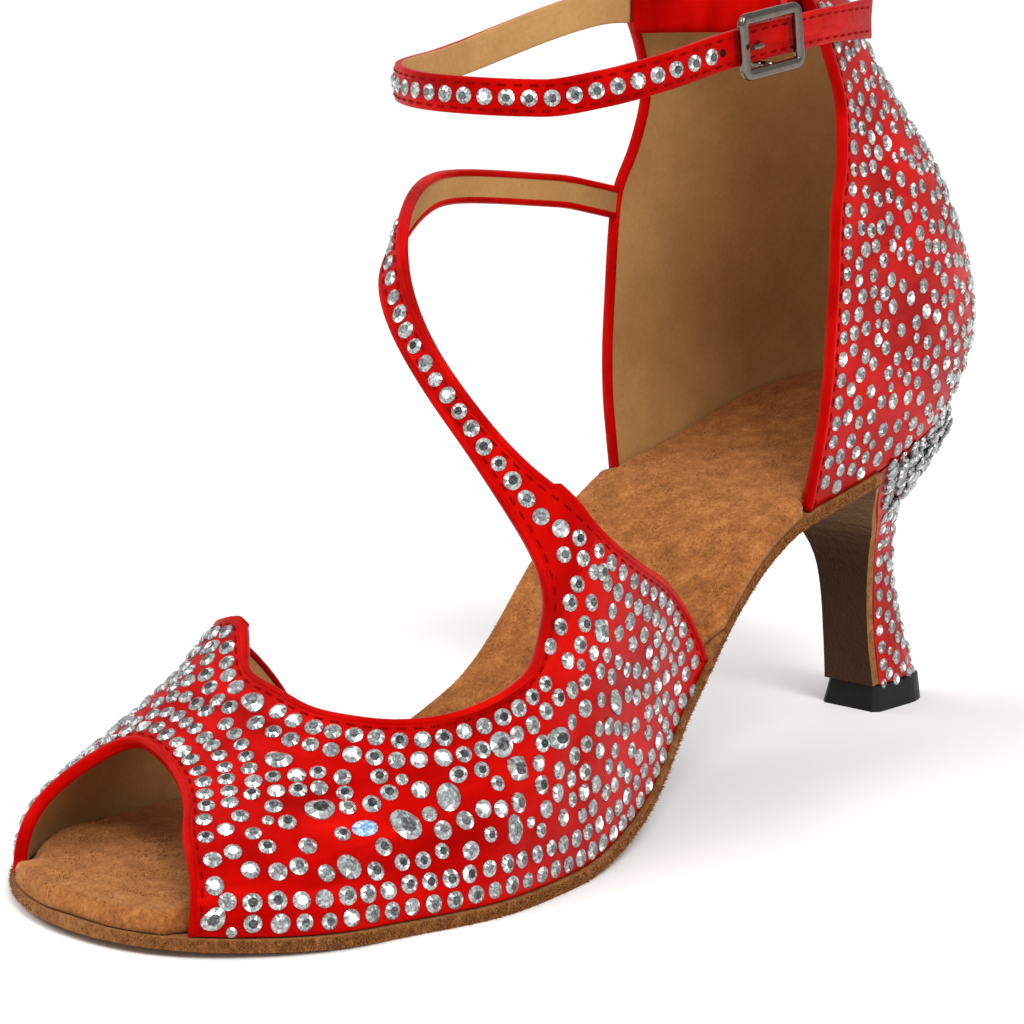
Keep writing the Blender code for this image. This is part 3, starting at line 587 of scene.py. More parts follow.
def counter_cloth(rises, turns, folds, flaps):
    """The wall, a half circle over the channel, and a straight flap down its inner side. Along each
    row of the fold, a point moves toward the mean of its neighbours, as cloth is eased round."""
    wall = counter(*np.meshgrid(rises, turns, indexing="ij"))
    top = wall[-1]
    side = sideways(top)
    up = np.array([0.0, 0.0, 1.0])
    radius = WALL + 2 * GAP + ANKLE_STRAP_THICKNESS / 2
    over = [top + side * radius * (1 - np.cos(a)) + up * radius * np.sin(a) for a in folds]
    inner = [top + side * 2 * radius - up * FLAP_LENGTH * share for share in flaps]
    folded = np.array(over + inner)
    loose = np.concatenate([(1 - np.cos(folds)) / 2, np.ones(len(flaps))])[:, None, None]
    for _ in range(EASE_PASSES):
        mean = (folded[:, :-2] + folded[:, 2:]) / 2
        folded[:, 1:-1] = between(folded[:, 1:-1], mean, loose / 2)
    return np.concatenate([wall, folded])


COUNTER_ROWS = 90
counter_points = counter_cloth(
    rises=np.linspace(0, 1, COUNTER_ROWS),
    turns=np.linspace(0, 1, 161),
    folds=np.linspace(0, np.pi, 13)[1:],
    flaps=np.linspace(0, 1, 6)[1:],
)
wall_form = press(sheet(counter_points[:COUNTER_ROWS]), COUNTER_CREASES)
counter_points[:COUNTER_ROWS] = wall_form["points"]
heel_grid = np.meshgrid(np.linspace(0, 1, 61), np.linspace(0, 1, 97), indexing="ij")
heel_form = sheet(heel_skin(*heel_grid))
print("grids:", vamp_form["points"].shape, strap_form["points"].shape, counter_points.shape)


# %% [markdown]
# Blender stores a mesh as long flat arrays. This helper puts a grid or a list of faces into one,
# moves it from the bench to the frame, and lets it ride on the shoe's only body. Its map holds
# distances in metres along the cloth, so that a weave keeps its size wherever the cloth goes.

# %% Making a piece, and turning a closed one's faces outward
def grid_faces(count_rows, count_columns, around=False):
    """Every cell of a grid as four point numbers; around closes the last column to the first."""
    wide = count_columns if around else count_columns - 1
    r, c = np.meshgrid(np.arange(count_rows - 1), np.arange(wide), indexing="ij")
    right = (c + 1) % count_columns
    corners = [r * count_columns + c, r * count_columns + right]
    corners += [(r + 1) * count_columns + right, (r + 1) * count_columns + c]
    return np.stack(corners, -1).reshape(-1, 4)


def make_piece(name, points, faces, looks, uv=None, facets=None, flat=False):
    """A mesh object from arrays, at the origin, with its map and face values, riding on the shoe."""
    mesh = bpy.data.meshes.new(name)
    mesh.from_pydata((points.reshape(-1, 3) + SHIFT).tolist(), [], faces)
    if uv is not None:
        loops = np.empty(len(mesh.loops), np.int32)
        mesh.loops.foreach_get("vertex_index", loops)
        layer = mesh.uv_layers.new(name="cloth")
        layer.data.foreach_set("uv", uv.reshape(-1, 2)[loops].astype(np.float32).ravel())
    if facets is not None:
        values = mesh.attributes.new("facet", "FLOAT", "FACE")
        values.data.foreach_set("value", np.asarray(facets, np.float32))
    mesh.polygons.foreach_set("use_smooth", np.full(len(mesh.polygons), not flat))
    for look in looks:
        mesh.materials.append(look)
    made = bpy.data.objects.new(name, mesh)
    scene.collection.objects.link(made)
    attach(made, "root")
    print(f"{name}: {len(mesh.polygons)} faces")
    return made


def face_outward(piece):
    """Turns every face of a closed piece so that it looks outward."""
    solid = bmesh.new()
    solid.from_mesh(piece.data)
    bmesh.ops.recalc_face_normals(solid, faces=solid.faces)
    solid.to_mesh(piece.data)
    solid.free()


def cloth_map(points):
    """Distances in metres along both directions of a grid, averaged across it."""
    step = np.linalg.norm(np.diff(points, axis=1), axis=-1).mean(axis=0)
    fall = np.linalg.norm(np.diff(points, axis=0), axis=-1).mean(axis=1)
    u = np.concatenate([[0], np.cumsum(step)])
    v = np.concatenate([[0], np.cumsum(fall)])
    return np.stack(np.meshgrid(u, v), -1)


# %% [markdown]
# A shader is a chain of small nodes. One function adds a node of any kind: its settings, the
# values on its own sockets, the colours of a ramp, and what feeds it. Colours are written as the
# hex values that a screen shows, and one more function turns them into linear light.

# %% Adding a node, and reading a colour
def linear(hex_colour):
    """Each channel of a screen colour by the sRGB curve, as the shader needs it."""
    channels = [int(hex_colour[i:i + 2], 16) / 255 for i in (0, 2, 4)]
    return [c / 12.92 if c <= 0.04045 else ((c + 0.055) / 1.055) ** 2.4 for c in channels] + [1.0]


def add(look, kind, settings=None, values=None, links=None, stops=None):
    """Adds one node to a material, with its settings, socket values, ramp stops and links."""
    node = look.node_tree.nodes.new(kind)
    for key, value in (settings or {}).items():
        setattr(node, key, value)
    for key, value in (values or {}).items():
        node.inputs[key].default_value = value
    for key, source in (links or {}).items():
        look.node_tree.links.new(source, node.inputs[key])
    if stops:
        ramp = node.color_ramp
        while len(ramp.elements) < len(stops):
            ramp.elements.new(0.5)
        for element, (place, hex_colour) in zip(ramp.elements, stops):
            element.position = place
            element.color = linear(hex_colour)
    return node


def new_look(name):
    """An empty material with its output node, ready for a shader."""
    look = bpy.data.materials.new(name)
    look.use_nodes = True
    look.node_tree.nodes.clear()
    look.node_tree.nodes.new("ShaderNodeOutputMaterial")
    return look


def shade(look, values, links):
    """Puts the main shader in front of the output."""
    shader = add(look, "ShaderNodeBsdfPrincipled", values=values, links=links)
    output = look.node_tree.nodes["Material Output"]
    look.node_tree.links.new(shader.outputs["BSDF"], output.inputs["Surface"])
    return look


# %% [markdown]
# Satin is woven so that long floating threads cover its face. They lie side by side and reflect
# along their length, which the eye sees as a soft sheen that runs one way, over a colour that
# turns from blood red in the hollows to bright red where light meets it. Its threads are a tenth
# of a millimetre apart; they are drawn four times as coarse here, so that the render shows them.

# %% Red polyester satin, woven and glued over the lining
# Light off satin is coloured by the dye, so the gloss and the sheen are tinted red. The clouds of
# colour are 18 mm across and the pulls 8 mm. At a scale of 1 a wave's bands lie 0.314 apart.
CLOUD_SCALE = 55.0
PULL_SCALE = 120.0
WAVE_BAND = 0.314


def satin(name, coordinates, thread=0.0004):
    """Broad cloudy colour, fine ribs of thread, and faint pulled wrinkles under a soft gloss."""
    look = new_look(name)
    spots = add(look, "ShaderNodeTexCoord").outputs[coordinates]
    clouds = add(
        look, "ShaderNodeTexNoise", values={"Scale": CLOUD_SCALE, "Detail": 3.0},
        links={"Vector": spots},
    )
    red = add(
        look, "ShaderNodeValToRGB", links={"Fac": clouds.outputs["Fac"]},
        stops=[(0.28, "840201"), (0.50, "AC0503"), (0.74, "CC0F07")],
    )
    threads = add(
        look, "ShaderNodeTexWave", settings={"wave_type": "BANDS", "bands_direction": "X"},
        values={"Scale": WAVE_BAND / thread, "Distortion": 0.4, "Detail": 1.0, "Detail Scale": 2.0},
        links={"Vector": spots},
    )
    stretched = add(
        look, "ShaderNodeMapping", values={"Scale": (1.0, 3.2, 1.6)}, links={"Vector": spots}
    )
    pulls = add(
        look, "ShaderNodeTexNoise", values={"Scale": PULL_SCALE, "Detail": 2.0},
        links={"Vector": stretched.outputs["Vector"]},
    )
    gloss = add(
        look, "ShaderNodeMapRange", values={"To Min": 0.30, "To Max": 0.46},
        links={"Value": pulls.outputs["Fac"]},
    )
    soft = add(
        look, "ShaderNodeBump", values={"Strength": 0.35, "Distance": 0.0005},
        links={"Height": pulls.outputs["Fac"]},
    )
    ribs = add(
        look, "ShaderNodeBump", values={"Strength": 0.12, "Distance": 0.00012},
        links={"Height": threads.outputs["Fac"], "Normal": soft.outputs["Normal"]},
    )
    return shade(
        look,
        {"IOR": 1.45, "Specular IOR Level": 0.16, "Specular Tint": linear("FF2A14"),
         "Sheen Weight": 0.02, "Sheen Roughness": 0.35, "Sheen Tint": linear("FF1A08"),
         "Anisotropic": 0.35},
        {"Base Color": red.outputs["Color"], "Roughness": gloss.outputs["Result"],
         "Normal": ribs.outputs["Normal"]},
    )


satin_cloth = satin("woven_red_satin", "UV")
satin_over_heel = satin("red_satin_over_the_heel", "Object")

# %% [markdown]
# The lining is thin split pigskin: dull, tan, with fine pores. The insole is brushed suede, whose
# nap lies in patches, so that it is light where it leans toward the lamp and dark where it leans
# away. The outsole's suede is denser and browner, and its cut edge looks pebbled.

# %% Pigskin lining, brushed suede and the cut edge of the sole
# Patch, grain and depth are lengths in metres. Under the waist and down the heel's front, the
# breast, the sole's cover gets a painted shade: its colour is made almost black there, for the
# shade that falls on it. That part is told by its normal, which has little of X in it and doesn't
# look up, and by its height off the floor. A Mix node's sockets 6 and 7 are its two colours, and
# its output 2 is the colour that comes out.
def brushed(name, tones, patch, grain, rough=0.95, depth=0.0006, fuzz=0.5, painted_breast_shade=None):
    """Patches of nap and fine grain in colour and relief; the breast may get a painted shade."""
    look = new_look(name)
    spots = add(look, "ShaderNodeTexCoord").outputs["Object"]
    patches = add(
        look, "ShaderNodeTexNoise", values={"Scale": 1 / patch, "Detail": 4.0, "Roughness": 0.65},
        links={"Vector": spots},
    )
    grains = add(
        look, "ShaderNodeTexNoise", values={"Scale": 1 / grain, "Detail": 3.0, "Roughness": 0.7},
        links={"Vector": spots},
    )
    both = add(
        look, "ShaderNodeMix", settings={"data_type": "FLOAT"}, values={"Factor": 0.45},
        links={"A": patches.outputs["Fac"], "B": grains.outputs["Fac"]},
    )
    ramp = add(look, "ShaderNodeValToRGB", links={"Fac": both.outputs["Result"]}, stops=tones)
    tone = ramp.outputs["Color"]
    if painted_breast_shade:
        facing = add(
            look, "ShaderNodeSeparateXYZ",
            links={"Vector": add(look, "ShaderNodeTexCoord").outputs["Normal"]},
        )
        height = add(look, "ShaderNodeSeparateXYZ", links={"Vector": spots})
        sideways_on = add(
            look, "ShaderNodeMath", settings={"operation": "ABSOLUTE"},
            links={0: facing.outputs["X"]},
        )
        forward = add(
            look, "ShaderNodeMapRange", values={"From Min": 0.75, "From Max": 0.5},
            links={"Value": sideways_on.outputs["Value"]},
        )
        below = add(
            look, "ShaderNodeMapRange", values={"From Min": 0.4, "From Max": 0.2},
            links={"Value": facing.outputs["Z"]},
        )
        raised = add(
            look, "ShaderNodeMapRange", values={"From Min": 0.0035, "From Max": 0.0050},
            links={"Value": height.outputs["Z"]},
        )
        painted_shade_mask = forward.outputs["Result"]
        for limit in (below, raised):
            painted_shade_mask = add(
                look, "ShaderNodeMath", settings={"operation": "MULTIPLY"},
                links={0: painted_shade_mask, 1: limit.outputs["Result"]},
            ).outputs["Value"]
        # Painted shade: where the mask is on, the breast and the waist's underside take the dark
        # colour.
        tone = add(
            look, "ShaderNodeMix", settings={"data_type": "RGBA"}, values={7: linear(painted_breast_shade)},
            links={0: painted_shade_mask, 6: tone},
        ).outputs[2]
    relief = add(
        look, "ShaderNodeBump", values={"Strength": 0.8, "Distance": depth},
        links={"Height": both.outputs["Result"]},
    )
    return shade(
        look,
        {"Roughness": rough, "IOR": 1.45, "Specular IOR Level": 0.2, "Sheen Weight": fuzz,
         "Sheen Roughness": 0.5, "Sheen Tint": linear("E8B27A")},
        {"Base Color": tone, "Normal": relief.outputs["Normal"]},
    )


lining = brushed(
    "pigskin_lining", [(0.25, "A07848"), (0.55, "B38854"), (0.8, "BF9762")],
    patch=0.009, grain=0.0008, rough=0.8, depth=0.0002, fuzz=0.1,
)
insole_suede = brushed(
    "brushed_suede_insole", [(0.30, "5C3014"), (0.50, "955829"), (0.70, "BE8048")],
    patch=0.0036, grain=0.0006,
)
# The outsole's breast and the waist's underside get a painted shade, almost black.
sole_suede = brushed(
    "dense_suede_outsole", [(0.32, "4E2C13"), (0.50, "7C4B25"), (0.70, "A46F3F")],
    patch=0.0026, grain=0.0007, painted_breast_shade="2A120A",
)

# %% [markdown]
# The camera stands where the photograph was taken from: off the toe on the shoe's outer side, a
# little above it, with a long lens. It is turned by less than a degree about its own axis, as in
# the picture.

# %% The camera
CAMERA_AZIMUTH = math.radians(41.656)
CAMERA_HEIGHT = math.radians(10.574)
CAMERA_ROLL = math.radians(0.778)
CAMERA_DISTANCE = 0.580
SENSOR = 36.0
FOCAL_PIXELS = 3269.5
PHOTO_PIXELS = 1024
AIM = np.array([-0.0074, 0.00075, 0.05085]) + SHIFT

back = np.array([
    math.sin(CAMERA_AZIMUTH) * math.cos(CAMERA_HEIGHT),
    -math.cos(CAMERA_AZIMUTH) * math.cos(CAMERA_HEIGHT),
    math.sin(CAMERA_HEIGHT),
])
right = unit(np.cross([0, 0, 1.0], back))
above = np.cross(back, right)
camera_right = right * math.cos(CAMERA_ROLL) + above * math.sin(CAMERA_ROLL)
camera_up = above * math.cos(CAMERA_ROLL) - right * math.sin(CAMERA_ROLL)
camera = bpy.data.objects.new("camera", bpy.data.cameras.new("camera"))
camera.data.sensor_width = SENSOR
camera.data.lens = SENSOR * FOCAL_PIXELS / PHOTO_PIXELS
camera.data.clip_start = 0.01
turned = np.eye(4)
turned[:3] = np.column_stack([camera_right, camera_up, back, AIM + back * CAMERA_DISTANCE])
camera.matrix_world = Matrix(turned.tolist())
scene.collection.objects.link(camera)
scene.camera = camera
print("camera lens, mm:", round(camera.data.lens, 2))

# %% [markdown]
# The vamp with its instep strap is one sheet of satin, and the counter is another. Both are grids
# thickened inward to the wall's real thickness. The inside then takes the lining's material, and
# the rim stays satin, as where cloth is folded over.

# %% Vamp, instep strap and counter
WELD = 0.000002


def cloth_piece(name, grids):
    """Grids as one cloth: faces turned outward, shared points welded, a wall grown by Solidify."""
    faces = []
    maps = []
    first = 0
    for points in grids:
        normals = sheet(points, (0.0, 0.0, 0.05))["normals"].reshape(-1, 3)
        cells = grid_faces(*points.shape[:2])
        corners = points.reshape(-1, 3)[cells[:, :3]]
        facing = np.cross(corners[:, 1] - corners[:, 0], corners[:, 2] - corners[:, 0])
        if np.sum(facing * normals[cells[:, 0]]) < 0:
            cells = cells[:, ::-1]
        faces += (cells + first).tolist()
        maps.append(cloth_map(points).reshape(-1, 2))
        first += points.shape[0] * points.shape[1]
    joined_points = np.concatenate([points.reshape(-1, 3) for points in grids])
    made = make_piece(name, joined_points, faces, [satin_cloth, lining], np.concatenate(maps))
    form = bmesh.new()
    form.from_mesh(made.data)
    bmesh.ops.remove_doubles(form, verts=form.verts, dist=WELD)
    form.to_mesh(made.data)
    form.free()
    wall = made.modifiers.new("wall", "SOLIDIFY")
    wall.thickness = WALL
    wall.offset = -1
    wall.material_offset = 1
    wall.material_offset_rim = 0
    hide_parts("upper")
    return made


cloth_piece("vamp_and_strap_satin", [vamp_form["points"], strap_form["points"]])
cloth_piece("counter_satin", [counter_points])

# %% [markdown]
# The insole is a soft suede sock over a thin board. It fills the shoe between the upper's walls
# and comes out to the sole's edge where the shoe is open, and its top edge is rounded by the
# brush. Its outline is the sole's own, set in squarely by a distance that changes along the shoe.

# %% The brushed insole
def lean_in(along, height, side):
    """How far the last's flank leans in at a height: its half width less the superellipse's."""
    outer, inner = plan(along, SOLE_LEDGE)
    ridge = smooth(CREST, "ridge", along)
    half = (outer - inner) / 2 * (1 - ridge if side == "outer" else 1 + ridge)
    power = smooth(CREST, side, along)
    share = np.clip(height / (INSTEP_HEIGHT * smooth(CREST, "height", along)), 0, 0.9)
    return half * (1 - (1 - share**power) ** (1 / power))


RAMP = 0.006
SLOPE_STEP = 0.0002
LEAN_SPARE = 1.3


def insole_side(along, side, height, extra):
    """The sole's edge moved in squarely: by the wall inside the upper, by a gap where it is open."""
    index, sign, end = (0, 1, 0) if side == "outer" else (1, -1, -1)
    front = COUNTER["front"][0] + RAMP
    rear_end, front_end = VAMP["top_along"][end], VAMP["toe_along"][end]
    stops = (front, front + RAMP, rear_end - 3 * RAMP, rear_end - 2 * RAMP)
    stops += (front_end + RAMP, front_end + 1.6 * RAMP)
    deep = SOLE_LEDGE + WALL + GAP
    inset = np.interp(along, stops, (deep, GAP, GAP, deep, deep, GAP))
    before, after = plan(along - SLOPE_STEP)[index], plan(along + SLOPE_STEP)[index]
    slope = (before - after) / (2 * SLOPE_STEP * LENGTH)
    square = 1 / np.hypot(1, slope)
    lean = LEAN_SPARE * square * lean_in(along, height, side) + 3 * GAP
    lean = lean + TOE_ROOM * np.interp(along, (0.90, 0.95), (0, 1))
    lean = lean * np.where((inset > 2 * GAP) & (along > rear_end - 0.02), height / INSOLE, 0)
    move = inset + lean + extra
    x = plan(along)[index] - sign * move * square
    return np.stack([x, y_of(along) + sign * move * slope * square, seat(along) + height], -1)


# The shares along the shoe lie close together round the heel and round the toe.
ROUNDING = 0.0012
WAVE_DEPTH = 0.00012
rounding_in = 1 - np.cos(np.linspace(0, np.pi / 2, 24))
insole_share = np.concatenate([
    0.002 + 0.178 * rounding_in[1:],
    np.linspace(0.18, 0.86, 120)[1:-1],
    0.998 - 0.138 * rounding_in[:0:-1],
])
arc = np.linspace(0, np.pi / 2, 6)
top_levels = INSOLE - ROUNDING + ROUNDING * np.sin(arc)
levels = np.concatenate([[0.0, 0.5 * (INSOLE - ROUNDING)], top_levels])
insets = np.concatenate([[0.0, 0.0], ROUNDING * (1 - np.cos(arc))])
outer_side = np.stack([insole_side(insole_share, "outer", h, s) for h, s in zip(levels, insets)], 1)
inner_side = np.stack([insole_side(insole_share, "inner", h, s) for h, s in zip(levels, insets)], 1)
shares = np.linspace(0, 1, 24)[1:-1, None]
over_top = between(outer_side[:, -1:], inner_side[:, -1:], shares[None])
insole_points = np.concatenate([outer_side, over_top, inner_side[:, ::-1]], axis=1)
insole_form = sheet(insole_points, (0.0, 0.0, -0.2))
waves = np.sin(insole_points[..., 0] * 420 + 1.3) * np.sin(insole_points[..., 1] * 350)
soften = np.clip((insole_points[..., 2] - seat(insole_share)[:, None]) / INSOLE, 0, 1) ** 2
insole_points = insole_points + insole_form["normals"] * (waves * soften * WAVE_DEPTH)[..., None]
section_count = insole_points.shape[1]
last_point = len(insole_share) * section_count - 1
insole_faces = grid_faces(len(insole_points), section_count, around=True).tolist()
insole_faces.append(list(range(section_count)))
insole_faces.append(list(range(last_point, last_point - section_count, -1)))
insole_piece = make_piece("insole_brushed_suede", insole_points, insole_faces, [insole_suede])
face_outward(insole_piece)
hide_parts("insole")

# %% [markdown]
# Every cut edge of the satin is bound: a narrow strip is folded round it and sewn down, which
# gives a soft round rim. It is a small rounded section carried along each edge, lying half a
# wall's thickness below the outside. The binding of the rear edge runs from the wing up the
# strap, and that of the front edge from the strap down round the throat.

# %% Carrying a section along a path
def rounded(half_wide, half_high, power, count):
    """A superellipse: the half sizes times a power of the cosine and of the sine."""
    turn = np.linspace(0, 2 * np.pi, count, endpoint=False)
    x = np.sign(np.cos(turn)) * np.abs(np.cos(turn)) ** (2 / power) * half_wide
    y = np.sign(np.sin(turn)) * np.abs(np.sin(turn)) ** (2 / power) * half_high
    return np.stack([x, y], -1)


def carried(name, path, first, second, section, looks, loop=False, shape=None):
    """At each point of the path: the section's x along the first direction, y along the second."""
    section = np.broadcast_to(section, (len(path),) + section.shape[-2:])
    points = path[:, None] + first[:, None] * section[..., :1] + second[:, None] * section[..., 1:]
    if shape is not None:
        points = points + shape
    count = section.shape[1]
    if loop:
        points = np.concatenate([points, points[:1]])
    faces = grid_faces(len(points), count, around=True)
    if loop:
        faces = faces % (count * len(path))
        points = points[:-1]
    flat = points.reshape(-1, 3)
    corners = flat[faces[: count * 3]]
    facing = np.cross(corners[:, 1] - corners[:, 0], corners[:, 2] - corners[:, 0])
    middle = np.repeat(points[:3].mean(axis=1), count, axis=0)
    inward = np.sum(facing * (corners.mean(axis=1) - middle)) < 0
    faces = faces[:, ::-1] if inward else faces
    ends = []
    if not loop:
        ends = [list(range(count)), list(range(len(flat) - count, len(flat)))]
        ends[1 if inward else 0].reverse()
    run = np.concatenate([[0], np.cumsum(np.linalg.norm(np.diff(path, axis=0), axis=1))])
    round_run = np.linspace(0, np.linalg.norm(np.diff(points[1], axis=0), axis=1).sum(), count)
    uv = np.stack(np.meshgrid(round_run, run), -1)
    return make_piece(name, points, faces.tolist() + ends, looks, uv)


to_neck, from_neck = slice(None, NECK.start + 1), slice(NECK.stop - 1, None)
up_strap, down_strap = slice(HELD_ROWS + 1, None), slice(None, HELD_ROWS, -1)
wing = edge_of(vamp_form, np.s_[-1, to_neck], np.s_[-3, to_neck])
throat = edge_of(vamp_form, np.s_[-1, from_neck], np.s_[-3, from_neck])
peep = edge_of(vamp_form, np.s_[0, :], np.s_[2, :])
strap_rear = edge_of(strap_form, np.s_[up_strap, 0], np.s_[up_strap, 4])
strap_front = edge_of(strap_form, np.s_[down_strap, -1], np.s_[down_strap, -5])
back_outer = edge_of(wall_form, np.s_[:, 0], np.s_[:, 2])
back_inner = edge_of(wall_form, np.s_[:, -1], np.s_[:, -3])
rims = {
    "rear": evened(joined(wing, strap_rear)), "front": evened(joined(strap_front, throat)),
    "toe": evened(peep), "counter_outer": evened(back_outer), "counter_inner": evened(back_inner),
}
# At the neck the strap's end lies under the vamp, and the binding steps out over the lap.
BINDING = 0.0007
PROUD = 0.0003
LAP_AT = 2 * STRAP["reach"][1]
LAP_RISE = 0.0010
LAP_LENGTH = 0.012
LAP_HEIGHT = 0.0008
lap_spot = last(smooth(STRAP, "rear_along", LAP_AT), smooth(STRAP, "rear_turn", LAP_AT))
for name, rim in rims.items():
    centre = rim["line"] - rim["off"] * (BINDING - PROUD) - rim["up"] * WALL / 2
    if name == "rear":
        run_here = np.arange(len(centre)) * EVEN_STEP
        lap = run_here[nearest_of(lap_spot[None], centre)[0]] - run_here
        step_out = np.clip(lap / LAP_RISE + 1, 0, 1) * np.clip(1 - lap / LAP_LENGTH, 0, 1)
        centre = centre + rim["off"] * (step_out * LAP_HEIGHT)[:, None]
    section = rounded(BINDING, WALL / 2 + PROUD, 2.6, 14)
    carried("binding_" + name, centre, rim["off"], rim["up"], section, [satin_cloth])

# %% [markdown]
# A lockstitch runs 1.6 mm inside every bound edge, and along both edges of the ankle strap. Each
# stitch is a short spindle of thread that dips into the cloth at both its ends. The same few
# points are copied along the line, turned to its direction, and joined to one mesh.

# %% Copying a small form many times
rng = np.random.default_rng(5)
THREAD = new_look("dark_red_twisted_thread")
twist = add(
    THREAD, "ShaderNodeTexWave", values={"Scale": 900.0, "Distortion": 1.0},
    links={"Vector": add(THREAD, "ShaderNodeTexCoord").outputs["Object"]},
)
thread_red = add(
    THREAD, "ShaderNodeValToRGB", links={"Fac": twist.outputs["Fac"]},
    stops=[(0.2, "6A0302"), (0.8, "8E0604")],
)
shade(THREAD, {"Roughness": 0.7, "Specular IOR Level": 0.15, "Specular Tint": linear("FF2A14")},
      {"Base Color": thread_red.outputs["Color"]})


def copies(name, unit_form, cells, places, along, across_way, up, size, looks, facets=None, flat=False):
    """At every place: the small form's x, y and z times its sizes along three directions."""
    count = unit_form.shape[-2]
    points = (
        places[:, None]
        + unit_form[..., 0:1] * size[:, None, 0:1] * along[:, None]
        + unit_form[..., 1:2] * size[:, None, 1:2] * across_way[:, None]
        + unit_form[..., 2:3] * size[:, None, 2:3] * up[:, None]
    )
    faces = [[corner + count * i for corner in cell] for i in range(len(places)) for cell in cells]
    hop = np.arange(len(places))[:, None, None] * 3.0
    flat_map = np.broadcast_to(unit_form[..., :2], (len(places), count, 2)) + hop
    return make_piece(name, points, faces, looks, flat_map, facets, flat)


spindle_turn = np.linspace(0, 2 * np.pi, 6, endpoint=False)
spindle = np.stack([
    np.repeat([-1.0, -0.65, 0.65, 1.0], 6),
    np.tile(np.cos(spindle_turn), 4) * np.repeat([0.4, 1, 1, 0.4], 6),
    np.tile(np.sin(spindle_turn), 4) * np.repeat([0.4, 1, 1, 0.4], 6) - np.repeat([1.2, 0, 0, 1.2], 6),
], -1)
spindle_cells = grid_faces(4, 6, around=True)[:, ::-1].tolist()
spindle_cells += [list(range(6)), list(range(23, 17, -1))]
STITCH_PITCH = 0.0027
THREAD_RADIUS = 0.00020


def stitches(name, line, form=None, up=None):
    """Spindles at an even pitch along a line that lies on a cloth, or with given normals."""
    places = evenly(line, STITCH_PITCH)
    if form is not None:
        places, up = lay_on(form, places)
    along = unit(np.gradient(places, axis=0))
    side = unit(np.cross(up, along))
    size = np.tile([STITCH_PITCH * 0.36, THREAD_RADIUS, THREAD_RADIUS], (len(places), 1))
    return copies(name, spindle, spindle_cells, places, along, side, up, size, [THREAD])


SEAM_INSET = 0.0016
upper_form = {
    key: np.concatenate([vamp_form[key].reshape(-1, 3), strap_form[key].reshape(-1, 3)])
    for key in ("points", "normals")
}
for name, form in (("rear", upper_form), ("front", upper_form), ("toe", vamp_form),
                   ("counter_outer", wall_form), ("counter_inner", wall_form)):
    stitches("stitches_" + name, inset_line(rims[name], form, SEAM_INSET), form)

# %% [markdown]
# The ankle strap leaves a channel folded in the counter's top, goes once round, and comes back
# through the buckle on the outer side. It is satin outside and lined inside, so the inner half of
# its section takes the lining. Its free end is cut hollow and flares a little.

# %% The ankle strap's path
def bridge(start, end, before, after, count):
    """A cubic from start to end, leaving along before and arriving along after."""
    t = np.linspace(0, 1, count + 2)[1:-1, None]
    reach = np.linalg.norm(end - start)
    pull = before / np.linalg.norm(before) * reach
    meet = after / np.linalg.norm(after) * reach
    a = (2 * t**3 - 3 * t**2 + 1) * start + (t**3 - 2 * t**2 + t) * pull
    return a + (3 * t**2 - 2 * t**3) * end + (t**3 - t**2) * meet


def channel(turns):
    """The counter's top edge moved in by the fold's radius and down by the channel's depth."""
    top = counter(1.0, turns)
    inset = WALL + 2.8 * GAP + ANKLE_STRAP_THICKNESS / 2
    return top + sideways(top) * inset - np.array([0.0, 0.0, CHANNEL_DEPTH])


def directions(path):
    """Along the path, out of it sideways and level, and square to both."""
    along = unit(np.gradient(path, axis=0))
    out = unit(np.cross(np.array([0.0, 0.0, 1.0]), along))
    return along, out, np.cross(along, out)


TAIL_HOLLOW = 0.0009
ring = ring_point(np.linspace(TAIL_END, RING_END, 170))
held = channel(np.linspace(0.56, 1.0, 30))[::-1]
exit_step = unit(held[0] - held[1]) * CHANNEL_EXIT
held = np.concatenate([[held[0] + exit_step], held])
gap_part = bridge(ring[-1], held[0], ring[-1] - ring[-2], held[1] - held[0], 24)
ankle_line = np.concatenate([ring, gap_part, held])
ankle_along, ankle_out, ankle_up = directions(ankle_line)
run = np.concatenate([[0], np.cumsum(np.linalg.norm(np.diff(ankle_line, axis=0), axis=1))])
flare = np.clip(1 - run / 0.016, 0, 1) * TAIL_FLARE
section = rounded(ANKLE_STRAP_THICKNESS / 2, ANKLE_STRAP_WIDTH / 2, 7.0, 28)
widened = np.repeat(section[None], len(ankle_line), axis=0)
widened[..., 1] *= 1 + flare[:, None] / ANKLE_STRAP_WIDTH
hollow = (1 - (section[:, 1] / section[:, 1].max()) ** 2) * TAIL_HOLLOW
nearness = np.clip(1 - run / 0.003, 0, 1)
cut = ankle_along[0] * hollow[None, :, None] * nearness[:, None, None]
ankle = carried("ankle_strap_satin", ankle_line, ankle_out, ankle_up, widened,
                [satin_cloth, lining], shape=cut)
side_count = len(section)
inner_side = section[:, 0] < -ANKLE_STRAP_THICKNESS * 0.3
indices = np.zeros(len(ankle.data.polygons), np.int32)
facing_in = np.array([inner_side[i] and inner_side[(i + 1) % side_count] for i in range(side_count)])
indices[: (len(ankle_line) - 1) * side_count] = np.tile(facing_in, len(ankle_line) - 1)
ankle.data.polygons.foreach_set("material_index", indices)
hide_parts("ankle_strap")
# The last points of the path lie in the channel and just before it, so no stitches are put there.
for name, level in (("upper", 0.34), ("lower", -0.34)):
    face = ankle_line + ankle_out * ANKLE_STRAP_THICKNESS / 2 + ankle_up * ANKLE_STRAP_WIDTH * level
    part = face[2:-36]
    places = evenly(part, STITCH_PITCH)
    nearest = np.argmin(((places[:, None] - face[None]) ** 2).sum(-1), axis=1)
    stitches("strap_stitches_" + name, part, up=ankle_out[nearest])

# %% [markdown]
# The buckle is cast, polished and plated with dark nickel. A plated metal shows the room in its
# bevels, so its roughness is low and its colour is the metal's own warm grey.

